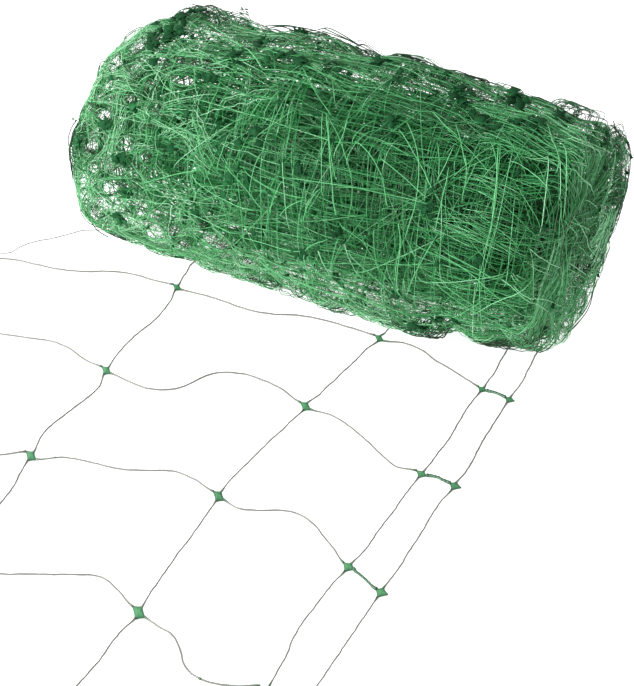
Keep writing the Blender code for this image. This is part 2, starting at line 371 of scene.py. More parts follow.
# The space that the wound net fills
rollShape = {
    "axisHeight": 0.119,
    "meanRadius": 0.118,
    "endDepth": 0.090,  # how far inside each end the centre of its rounding lies
    "capLength": 0.170,  # along the surface from the start of a rounding to the end's middle
    "skin": 0.8 * mm,  # strand centres stay this far inside the surface
    "alongSteps": 97,
    "roundSteps": 120,
    "turnedBack": (0.35, 0.2),  # the part of what stands out that comes back in, of at most this
}


def directionsAt(along, turn):
    # The outward direction at a place on the roll: straight out from the axis on the body,
    # and tipped toward the end by up to a right angle on each rounding
    over = np.maximum(along - rollShape["bodyLength"], 0) + np.minimum(along, 0)
    tip = np.clip(over / rollShape["capLength"], -1, 1) * math.pi / 2
    out = np.cos(tip)
    return np.stack([np.sin(tip), out * np.cos(turn), out * np.sin(turn)], -1)


def coresAt(along):
    # The point on the axis from which a place on the roll is reached
    core = np.zeros(along.shape + (3,))
    core[..., 0] = rollShape["firstCore"] + np.clip(along, 0, rollShape["bodyLength"])
    core[..., 2] = rollShape["axisHeight"]
    return core


def measureRoll():
    # Depth of the CAD roll along each outward direction, as a table over along and round
    low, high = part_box("roll")
    rollShape["firstCore"] = low[0] + rollShape["endDepth"]
    rollShape["bodyLength"] = high[0] - low[0] - 2 * rollShape["endDepth"]
    cap = rollShape["capLength"]
    alongs = np.linspace(-cap, rollShape["bodyLength"] + cap, rollShape["alongSteps"])
    turns = fullTurn * np.arange(rollShape["roundSteps"]) / rollShape["roundSteps"]
    along, turn = np.meshgrid(alongs, turns, indexing="ij")
    rays, starts = directionsAt(along, turn), coresAt(along)
    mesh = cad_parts["roll"].data
    corners = [vertex.co for vertex in mesh.vertices]
    surface = BVHTree.FromPolygons(corners, [face.vertices for face in mesh.polygons])
    hits = [
        surface.ray_cast(Vector(start), Vector(ray))[3]
        for start, ray in zip(starts.reshape(-1, 3), rays.reshape(-1, 3))
    ]
    rollShape["depths"] = np.array(hits, float).reshape(along.shape)
    rollShape["alongs"] = alongs


def depthAt(along, turn):
    # The table of depths, read evenly between its entries
    alongs, depths = rollShape["alongs"], rollShape["depths"]
    row = np.clip((along - alongs[0]) / (alongs[1] - alongs[0]), 0, len(alongs) - 1.001)
    column = (turn / fullTurn % 1) * rollShape["roundSteps"]
    i, j = row.astype(int), column.astype(int) % rollShape["roundSteps"]
    u, v = row - i, column % 1
    k = (j + 1) % rollShape["roundSteps"]
    near = depths[i, j] * (1 - v) + depths[i, k] * v
    far = depths[i + 1, j] * (1 - v) + depths[i + 1, k] * v
    return near * (1 - u) + far * u - rollShape["skin"]


def placeAt(along, turn, share):
    # A point in the roll: its core plus share of the depth there in the outward direction
    reach = share * depthAt(along, turn)
    return coresAt(along) + reach[..., None] * directionsAt(along, turn)


def spotAt(along, turn, share=1.0):
    # The same for places written in mm and degrees
    along = np.asarray(along * mm)
    return placeAt(along, np.radians(turn), share + 0 * along)


def readPlace(points):
    # The along, round and depth share of points, which undoes placeAt
    x = points[..., 0] - rollShape["firstCore"]
    y, z = points[..., 1], points[..., 2] - rollShape["axisHeight"]
    out = np.hypot(y, z)
    body = rollShape["bodyLength"]
    past = x - np.clip(x, 0, body)
    tip = np.arctan2(past, np.maximum(out, 1e-6))
    along = np.clip(x, 0, body) + tip / (math.pi / 2) * rollShape["capLength"]
    turn = np.arctan2(z, y)
    return along, turn, np.hypot(past, out) / depthAt(along, turn)


slackPlaces = (  # along mm, round degrees, depth share, spread mm
    (-80, 130, 0.085, 22), (-24, 75, 0.05, 16), (382, 63, 0.055, 20), (-86, 119, 0.03, 14),
    (-83, 154, 0.03, 12), (-65, 201, 0.035, 16), (286, 72, 0.02, 20), (342, 67, 0.01, 18),
    (145, 58, 0.05, 22), (178, 60, 0.05, 20), (235, 60, 0.045, 22),
)


def keepInside(points, most=1.0, drawnIn=True):
    # Points past the surface come back inside it by part of what they stood out. Where the
    # winding is slack its strands reach less far, by a bell round each such place.
    along, turn, share = readPlace(points)
    for middle, place, less, spread in slackPlaces if drawnIn else ():
        away = np.linalg.norm(points - spotAt(middle, place), axis=-1) / (spread * mm)
        most = most - less * np.exp(-(away ** 2))
    part, limit = rollShape["turnedBack"]
    kept = np.where(share > most, most - part * np.minimum(share - most, limit), share)
    return placeAt(along, turn, kept)


measureRoll()
print("roll measured, depths", rollShape["depths"].min().round(4), rollShape["depths"].max().round(4))


# Gaps in the loosely wound left end
gaps = {
    "crossing": 0.05,  # strands darker than this tone cross a gap, their tone painted dark as shade, and the others make way
    "size": 1.09,  # by which each width and height below is multiplied
    "reach": 2.0,  # strands are pushed aside up to this many times a gap's half size
    # along mm, round degrees, width mm, height mm, lean degrees
    "places": (
        (56, 114, 10, 6, 0), (45, 116, 8, 6, 0), (30, 117, 12, 6, 10), (42, 125, 22, 10, 0),
        (-2, 139, 14, 9, 0), (21, 140, 14, 8, 20), (-26, 149, 11, 14, 0), (-31, 164, 13, 10, 0),
        (2, 159, 12, 14, 0), (27, 161, 9, 11, 20), (-30, 174, 12, 8, 0), (0, 171, 12, 8, 0),
        (-12, 181, 16, 11, 15), (5, 178, 10, 9, 0), (-35, 201, 8, 12, 20), (22, 188, 14, 10, 30),
        (36, 189, 12, 9, 0), (33, 199, 17, 13, 0), (54, 196, 12, 9, 25), (56, 207, 16, 10, 30),
        (87, 187, 12, 7, 0), (99, 193, 13, 10, -30), (109, 194, 10, 8, 0), (19, 149, 12, 5, 0),
        (89, 101, 8, 5, 0), (111, 115, 7, 6, 0), (128, 139, 9, 9, 0), (-29, 125, 20, 12, 50),
        (-18, 111, 26, 8, 40), (-19, 118, 16, 9, 40), (12, 120, 11, 6, 10), (11, 130, 9, 6, 0),
        (146, 220, 11, 7, 0), (178, 218, 10, 6, 0), (133, 201, 10, 6, 0), (-40, 140, 10, 13, 30),
        (-47, 147, 6, 9, 20),
    ),
}


def openGaps(points, own):
    # Each gap is a lens-shaped tunnel that runs straight away from the viewer's place. A point's
    # distance from its middle line, in half sizes, goes from d to the root of 1 + d^2 (1 - 1/reach^2).
    pushed = own > gaps["crossing"]
    reach = gaps["reach"]
    for along, turn, width, height, lean in gaps["places"]:
        middle = spotAt(along, turn)
        way = unit(np.array(cameraSettings["place"]) - middle)
        level = unit(np.cross((0, 0, 1.0), way))
        lean = math.radians(lean)
        across = math.cos(lean) * level + math.sin(lean) * np.cross(way, level)
        up = np.cross(way, across)
        offset = points - middle
        halfWidth, halfHeight = width * mm * gaps["size"] / 2, height * mm * gaps["size"] / 2
        u = (offset @ across) / halfWidth
        v = (offset @ up) / halfHeight
        away = np.maximum(u ** 2 + v ** 2, 1e-4)
        grown = np.sqrt((1 + away * (1 - 1 / reach ** 2)) / away)
        push = np.where((away < reach ** 2) & pushed[:, None], grown - 1, 0)
        points = points + (push * u)[..., None] * across * halfWidth
        points = points + (push * v)[..., None] * up * halfHeight
    return points


# Places where light is painted into the tones of the wound net's strands and knots
paintedLightPlaces = {
    "leftEnd": 0.17,  # along the roll, where the painted light of the left end stops
    "low": (185, 35, 290),  # degrees round: from here, full after so many, and up to here
    "lowShare": 0.85,
}


def brightness(along, turn):
    # Painted light: from 1 where the netting is loose and full of light, at the left end and low at the
    # front, down to 0 in the tightly wound middle and at the right
    reach = paintedLightPlaces["leftEnd"]
    left = np.clip((reach - along) / reach, 0, 1)
    start, rise, end = paintedLightPlaces["low"]
    degrees = np.degrees(turn) % 360
    low = np.clip((degrees - start) / rise, 0, 1) * (degrees < end)
    return np.maximum(left, paintedLightPlaces["lowShare"] * low)


# The wound net
woundNet = {
    "seed": 41,
    "rows": 106,
    "columns": 33,
    "rowLength": 0.150,
    "columnLength": 0.170,
    "rowAdvance": 0.128,
    "columnAdvance": 0.145,
    "foldRange": (-0.160, 0.162),  # where the folds lie past each end of the body
    "lastTurn": -100,  # degrees, where the outermost row lies
    "rowShift": 0.007,  # each row starts this much further along than the one before
    "layers": (0.004, 8, 0.016),  # depth share: step from column to column, columns, middle
    "shareRange": (0.06, 0.995),
    "leastRadius": 0.03,  # for the drift round
    "coreShare": 0.14,
    "drift": (0.034, 0.034, 0.035),  # slow wander of the knots: along, round, depth share
    "jitter": (0.026, 0.026, 0.030),
    "radius": 0.36 * mm,
    "innerRadius": 0.70 * mm,
    "sides": 3,
    "outerShare": 0.76,  # strands past this depth share are drawn finely
    "wholly": 0.95,  # and past this one they follow the surface wholly
    "crinkledSteps": 31,
    "straightSteps": 13,
    "innerSteps": 6,
    "thinning": (0.0, 0.45),  # share of strands left out toward the left end, from this place along
    "calm": 0.55,  # the wander that is left at the right end
    "calming": (0.16, 0.12),  # where along it starts to fall, and over what length
    "crinkledEnd": 0.15,  # where along the crinkling ends
    "finelyDrawn": 0.12,  # where along the crinkled steps give way to the straight ones
    "tone": (0.02, 0.64, 0.55),  # the least, what a strand's own number adds and what the painted light adds
    "paintedShade": ((0.16, 0.20, 0.08), (0.09, 0.34, 0.05)),  # painted shade: how much darker, from where, over what length
    "swell": (0.9, 6 * mm),  # how much thicker at a knot, and over what length
}


def slowField(rng, rows, columns, waves=9):
    # Sum of slow waves over the net's rows and columns, with unit spread
    i, j = np.meshgrid(np.arange(rows), np.arange(columns), indexing="ij")
    total = np.zeros((rows, columns))
    for _ in range(waves):
        overRows, overColumns = rng.uniform(0.04, 0.2, 2) * rng.choice([-1, 1], 2)
        total += np.sin(fullTurn * (overRows * i + overColumns * j + rng.random()))
    return total * math.sqrt(2 / waves)


def foldBack(values, low, high):
    # Values outside a range are mirrored back into it
    span = high - low
    return low + span - np.abs((values - low) % (2 * span) - span)


def layNet(net):
    # Knot places as along, round and depth share. The winding is a spiral whose share squared
    # grows evenly with the length wound, and each row zigzags between the two ends.
    rng = np.random.default_rng(net["seed"])
    rows, columns = net["rows"], net["columns"]
    i, j = np.meshgrid(np.arange(rows), np.arange(columns), indexing="ij")
    inner = net["coreShare"] ** 2
    share = np.sqrt(inner + (1 - inner) * np.arange(rows) / (rows - 1))
    steps = net["rowAdvance"] / (rollShape["meanRadius"] * share)
    turn = np.radians(net["lastTurn"]) + np.cumsum(steps[::-1])[::-1]
    low = net["foldRange"][0]
    high = rollShape["bodyLength"] + net["foldRange"][1]
    along = low + j * net["columnAdvance"] + i * net["rowShift"]
    step, layers, middle = net["layers"]
    share = share[:, None] + step * (j % layers) - middle
    drifts = [slowField(rng, rows, columns) for _ in range(3)]
    jitters = rng.normal(size=(3, rows, columns))
    start, over = net["calming"]
    calm = 1 - (1 - net["calm"]) * np.clip((along - start) / over, 0, 1)
    shifts = [
        calm * (drift * slow + jitter * quick)
        for drift, slow, jitter, quick in zip(net["drift"], drifts, net["jitter"], jitters)
    ]
    along = foldBack(along + shifts[0], low, high)
    share = foldBack(share + shifts[2], *net["shareRange"])
    turn = turn[:, None] + shifts[1] / np.maximum(share * rollShape["meanRadius"], net["leastRadius"])
    return along, turn, share


crinkleShape = {
    "waves": 23,  # from one half wave along a strand to this many
    "centre": (1.0, 13),  # the strongest of them at level 0, and how many more at level 1
    "width": (0.7, 3.5),  # how many round it take part, likewise
    "longBows": 0.3,  # the share of its size that the longest wave keeps
}


def crinkled(lines, outward, level, slack, rng, depth=0.3):
    # Bows each line to its side, and in depth by a share of that, by sine waves that vanish at
    # its ends. level, from 0 to 1, moves the waves from one long bow to many short ones, and
    # slack is the extra length that they take up, the long bows taking less of it.
    count, steps = lines.shape[:2]
    t = np.linspace(0, 1, steps)
    span = np.linalg.norm(lines[:, -1] - lines[:, 0], axis=-1)
    waves = np.arange(1, crinkleShape["waves"] + 1)
    least, more = crinkleShape["centre"]
    centre = least + more * level * rng.uniform(0.4, 1.3, count)
    least, more = crinkleShape["width"]
    width = least + more * level
    weights = np.exp(-(((waves - centre[:, None]) / width[:, None]) ** 2))
    weights *= rng.uniform(0.1, 1.0, weights.shape)
    weights /= weights.sum(1, keepdims=True)
    sizes = 2 * span[:, None] / (math.pi * waves) * np.sqrt(slack[:, None] * weights)
    sizes = sizes * np.clip(waves / 10, crinkleShape["longBows"], 1)
    shapes = np.sin(math.pi * waves[:, None] * t)
    bow = (sizes * rng.choice([-1, 1], sizes.shape)) @ shapes
    lift = depth * (sizes * rng.choice([-1, 1], sizes.shape)) @ shapes
    side = unit(np.cross(np.gradient(lines, axis=1), outward))
    return lines + side * bow[..., None] + outward * lift[..., None]


def crinkleLevel(along):
    # 1 at the left, where the net is finely crinkled, falling to 0 where it is drawn straight
    end = woundNet["crinkledEnd"]
    return np.clip((end - along) / end, 0, 1)


def wind(starts, ends, restLength, steps, own, rng):
    # Strands between knots: each follows the roll's surface in part and cuts straight across in
    # part, or follows it wholly close to the outside, and is crinkled by the slack that it has
    t = np.linspace(0, 1, steps)
    even = [a[:, None] + (b - a)[:, None] * t for a, b in zip(starts, ends)]
    hugging = placeAt(*even)
    straight = hugging[:, :1] + (hugging[:, -1:] - hugging[:, :1]) * t[:, None]
    outside = (starts[2] + ends[2]) / 2 > woundNet["wholly"]
    hug = np.where(outside, 1.0, rng.random(len(starts[0])))[:, None, None]
    lines = straight + (hugging - straight) * hug
    span = np.linalg.norm(lines[:, -1] - lines[:, 0], axis=-1)
    level = crinkleLevel((starts[0] + ends[0]) / 2)
    level = np.clip(level * rng.uniform(0.7, 1.2, len(level)) + rng.uniform(0, 0.1, len(level)), 0, 1)
    slack = np.clip(restLength / np.maximum(span, 0.03) - 1, 0.0006, 0.002 + 0.07 * level)
    lines = crinkled(lines, directionsAt(even[0], even[1]), level, slack, rng)
    return keepInside(openGaps(lines, own)), directionsAt(even[0], even[1])


def layStrands(lines, crinkle, slack, rng, most=1.0):
    # Strands through places of the roll, crinkled alike and kept inside it, and their outward ways
    points, outward = placeAt(*lines), directionsAt(*lines[:2])
    level, slack = np.full(len(points), crinkle), np.full(len(points), slack)
    return keepInside(crinkled(points, outward, level, slack, rng), most), outward


def knotSwell(radius, points, rng):
    # Radius along each strand: its own even thickness, a little stouter next to its knots
    steps = points.shape[1]
    length = np.linalg.norm(np.diff(points, axis=1), axis=-1).sum(1)
    t = np.linspace(0, 1, steps)
    near = np.minimum(t, 1 - t) * length[:, None]
    own = rng.uniform(0.85, 1.15, len(points))[:, None]
    more, over = woundNet["swell"]
    return radius * own * (1 + more * np.exp(-((near / over) ** 2)))


def makeWoundNet(net, look):
    # Strands from each knot to the next of its row and of its column, in a few kinds. A strand's
    # own number, from 0 to 1, is its tone before the painted light and the painted shade of its place.
    rng = np.random.default_rng(net["seed"] + 1)
    knots = np.stack(layNet(net))
    ways = (
        (knots[:, :-1].reshape(3, -1), knots[:, 1:].reshape(3, -1), net["rowLength"]),
        (knots[:, :, :-1].reshape(3, -1), knots[:, :, 1:].reshape(3, -1), net["columnLength"]),
    )
    groups, total = [], 0
    for starts, ends, rest in ways:
        middle = (starts[0] + ends[0]) / 2
        kept = rng.random(len(middle)) > net["thinning"][1] * crinkleLevel(middle - net["thinning"][0])
        outer = (starts[2] + ends[2]) / 2 > net["outerShare"]
        left = middle < net["finelyDrawn"]
        kinds = (
            (kept & outer & left, net["crinkledSteps"]),
            (kept & outer & ~left, net["straightSteps"]),
            (kept & ~outer, net["innerSteps"]),
        )
        for chosen, steps in kinds:
            own = rng.random(chosen.sum())
            split = 0.5 + 0.5 * np.sign(own - 0.5) * np.abs(2 * own - 1) ** 0.6
            points, outward = wind(starts[:, chosen], ends[:, chosen], rest, steps, own, rng)
            total += np.linalg.norm(np.diff(points, axis=1), axis=-1).sum()
            along = middle[chosen]
            # painted light: lighter tones at the left end and low at the front
            paintedBright = brightness(along, (starts[1] + ends[1])[chosen] / 2)
            # painted shade: darker toward the middle and the right, except where light is painted
            paintedShade = sum(much * np.clip((along - at) / over, 0, 1) for much, at, over in net["paintedShade"])
            inner = steps == net["innerSteps"]
            # painted shade: strands deep in the winding keep only 0.6 of their tone
            share = 0.6 if inner else 1.0
            least, varied, lit = net["tone"]
            tones = share * (least + varied * split + lit * paintedBright - paintedShade * (1 - paintedBright))
            # painted shade: the strands that cross the gaps are made dark
            tones = np.where(own < gaps["crossing"], 0.4 * own, tones)[:, None] + np.zeros(steps)
            radii = knotSwell(net["innerRadius" if inner else "radius"], points, rng)
            groups.append(tubes(points, radii, outward, tones, net["sides"]))
    made = []
    for index, group in enumerate(groups):
        made += splitStrands(f"woundStrands{index + 1}", group, look, net["sides"])
    triangles = countTriangles(groups)
    print("wound net", len(made), "pieces", round(total), "m of strand", triangles, "triangles")
    return made, knots


def splitStrands(name, group, look, sides):
    # Pieces of a group of strands, each with fewer triangles than a piece may have
    count = len(group["quads"])
    each = 2 * group["quads"].shape[1] + 2
    parts = math.ceil(count * each / mostTriangles)
    cuts = np.linspace(0, count, parts + 1).astype(int)
    corners = group["steps"] * sides
    made = []
    for letter, low, high in zip("abcdef", cuts, cuts[1:]):
        bundle = {
            "points": group["points"][low * corners:high * corners],
            "quads": group["quads"][low:high] - low * corners,
            "caps": group["caps"][low:high] - low * corners,
            "tones": group["tones"][low * corners:high * corners],
            "steps": group["steps"],
        }
        made.append(joinStrands(name + letter, [bundle], look, sides))
    return made


woundMaterial = plasticMaterial("wound netting plastic", woundLook)
woundPieces, woundKnots = makeWoundNet(woundNet, woundMaterial)


# Long strands that lie on top of the winding
longStrands = {
    "seed": 7,
    "radius": 0.38 * mm,
    "steps": 30,
    "share": 1.0,
    "dive": 0.05,  # depth share by which both ends dive in
    "crinkle": 0.3,
    "slack": 0.0006,
    "tone": (0.65, 0.9),
    "darker": (0.07, 380),  # painted shade: how much darker, for strands whose middle lies before this, in mm
    "lighter": (0.13, 408, 18),  # painted light: how much lighter, for those whose middle is this near to this place
    # along and round at the start, the middle and the end, in mm and degrees
    "places": (
        (185, 122, 201, 140, 211, 159), (190, 123, 210, 141, 229, 167), (193, 124, 213, 142, 223, 151),
        (185, 122, 232, 144, 237, 166), (145, 105, 172, 116, 199, 125), (261, 116, 294, 139, 293, 168),
        (258, 121, 286, 132, 317, 147), (263, 144, 268, 150, 273, 156), (284, 161, 292, 172, 291, 198),
        (200, 184, 235, 202, 281, 209), (241, 180, 268, 187, 289, 198), (252, 171, 276, 183, 295, 196),
        (128, 156, 161, 161, 194, 161), (168, 155, 246, 151, 321, 150), (159, 174, 163, 165, 169, 156),
        (170, 173, 178, 167, 193, 162), (196, 172, 199, 163, 208, 155), (200, 184, 209, 179, 222, 176),
        (200, 184, 202, 190, 205, 196), (225, 193, 229, 182, 232, 174), (168, 147, 166, 138, 157, 123),
        (135, 133, 137, 126, 142, 120), (212, 124, 217, 132, 213, 142), (227, 134, 230, 128, 237, 120),
        (227, 133, 248, 137, 265, 146), (256, 137, 278, 141, 308, 148), (323, 161, 314, 174, 298, 196),
        (130, 181, 155, 196, 170, 218), (126, 188, 164, 186, 200, 184), (301, 108, 320, 121, 334, 132),
        (277, 107, 296, 113, 313, 117), (297, 122, 308, 131, 313, 140), (314, 123, 315, 131, 310, 144),
        (317, 132, 321, 143, 319, 163), (339, 127, 338, 133, 336, 140), (326, 125, 334, 133, 337, 146),
        (338, 113, 362, 136, 363, 169), (349, 114, 358, 128, 363, 147), (367, 88, 387, 103, 399, 119),
        (409, 128, 430, 145, 441, 187), (381, 96, 399, 117, 412, 131), (412, 131, 438, 144, 469, 209),
        (469, 209, 446, 236, 416, 258), (393, 99, 407, 120, 434, 135), (434, 135, 477, 190, 420, 261),
        (416, 54, 429, 36, 431, 344), (387, 111, 396, 127, 403, 152), (348, 115, 359, 132, 367, 155),
        (339, 114, 353, 124, 361, 135), (390, 177, 417, 202, 411, 274), (332, 182, 357, 191, 388, 205),
        (380, 175, 401, 186, 406, 265), (329, 169, 352, 171, 378, 176), (354, 203, 381, 185, 408, 174),
        (394, 207, 421, 221, 454, 220), (397, 158, 425, 171, 462, 232), (417, 50, 435, 23, 425, 330),
        (362, 122, 380, 123, 400, 129), (403, 115, 427, 102, 446, 39), (324, 182, 358, 196, 395, 214),
        (320, 170, 366, 178, 414, 217), (452, 115, 467, 334, 408, 318), (460, 176, 425, 204, 391, 210),
        (423, 220, 403, 207, 387, 217), (13, 83, 60, 96, 112, 111), (47, 116, 52, 124, 63, 131),
        (24, 113, 26, 122, 22, 133), (30, 148, 33, 154, 41, 160), (69, 183, 94, 185, 126, 187),
        (74, 164, 102, 171, 141, 174), (109, 156, 131, 163, 152, 173), (22, 175, 50, 168, 85, 161),
        (144, 198, 188, 205, 236, 213), (301, 168, 339, 172, 374, 176), (171, 101, 192, 100, 224, 103),
        (229, 108, 265, 105, 313, 105), (383, 89, 408, 90, 419, 47), (329, 91, 347, 89, 368, 88),
        (106, 141, 106, 150, 102, 160), (146, 146, 140, 156, 136, 169), (399, 104, 406, 104, 414, 100),
        (403, 110, 410, 107, 423, 95), (426, 103, 441, 86, 446, 41), (455, 70, 453, 29, 438, 3),
        (476, 43, 456, 5, 437, 356), (451, 133, 484, 121, 497, 324), (443, 131, 486, 61, 442, 338),
        (485, 298, 439, 315, 422, 315), (471, 240, 435, 297, 417, 304), (464, 246, 432, 294, 417, 301),
        (449, 258, 430, 278, 418, 294), (445, 36, 429, 25, 414, 14), (381, 82, 402, 80, 416, 54),
        (384, 85, 408, 82, 418, 57), (392, 93, 409, 91, 424, 70), (392, 95, 404, 95, 418, 84),
        (407, 72, 413, 70, 416, 51),
    ),
}


def makeLongStrands(settings, look):
    # A smooth arc through three places, laid on the surface: the arc is the parabola
    # (1-t)(1-2t) start + 4t(1-t) middle + t(2t-1) end, and it dives in a little at both ends
    rng = np.random.default_rng(settings["seed"])
    rows = np.array(settings["places"], float).reshape(-1, 3, 2)
    stops = spotAt(rows[..., 0], rows[..., 1])
    t = np.linspace(0, 1, settings["steps"])
    weights = np.stack([(1 - t) * (1 - 2 * t), 4 * t * (1 - t), t * (2 * t - 1)], -1)
    lines = np.einsum("sk,nkx->nsx", weights, stops)
    along, turn, _ = readPlace(lines)
    dive = settings["dive"] * np.abs(2 * t - 1) ** 7
    share = settings["share"] - dive + rng.uniform(-0.006, 0.006, len(lines))[:, None]
    points, outward = layStrands((along, turn, share), settings["crinkle"], settings["slack"], rng)
    middle = rows[:, 1, 0]
    less, before = settings["darker"]
    more, place, near = settings["lighter"]
    # painted shade before 380 mm, painted light on the right end
    tones = rng.uniform(*settings["tone"], len(points)) - less * (middle < before)
    tones += more * (np.abs(middle - place) < near)
    radii = settings["radius"] * rng.uniform(0.85, 1.15, len(points))
    return joinStrands("longStrands", [evenTubes(points, radii, outward, tones, 4)], look, 4)


woundPieces.append(makeLongStrands(longStrands, woundMaterial))
print("long strands laid")


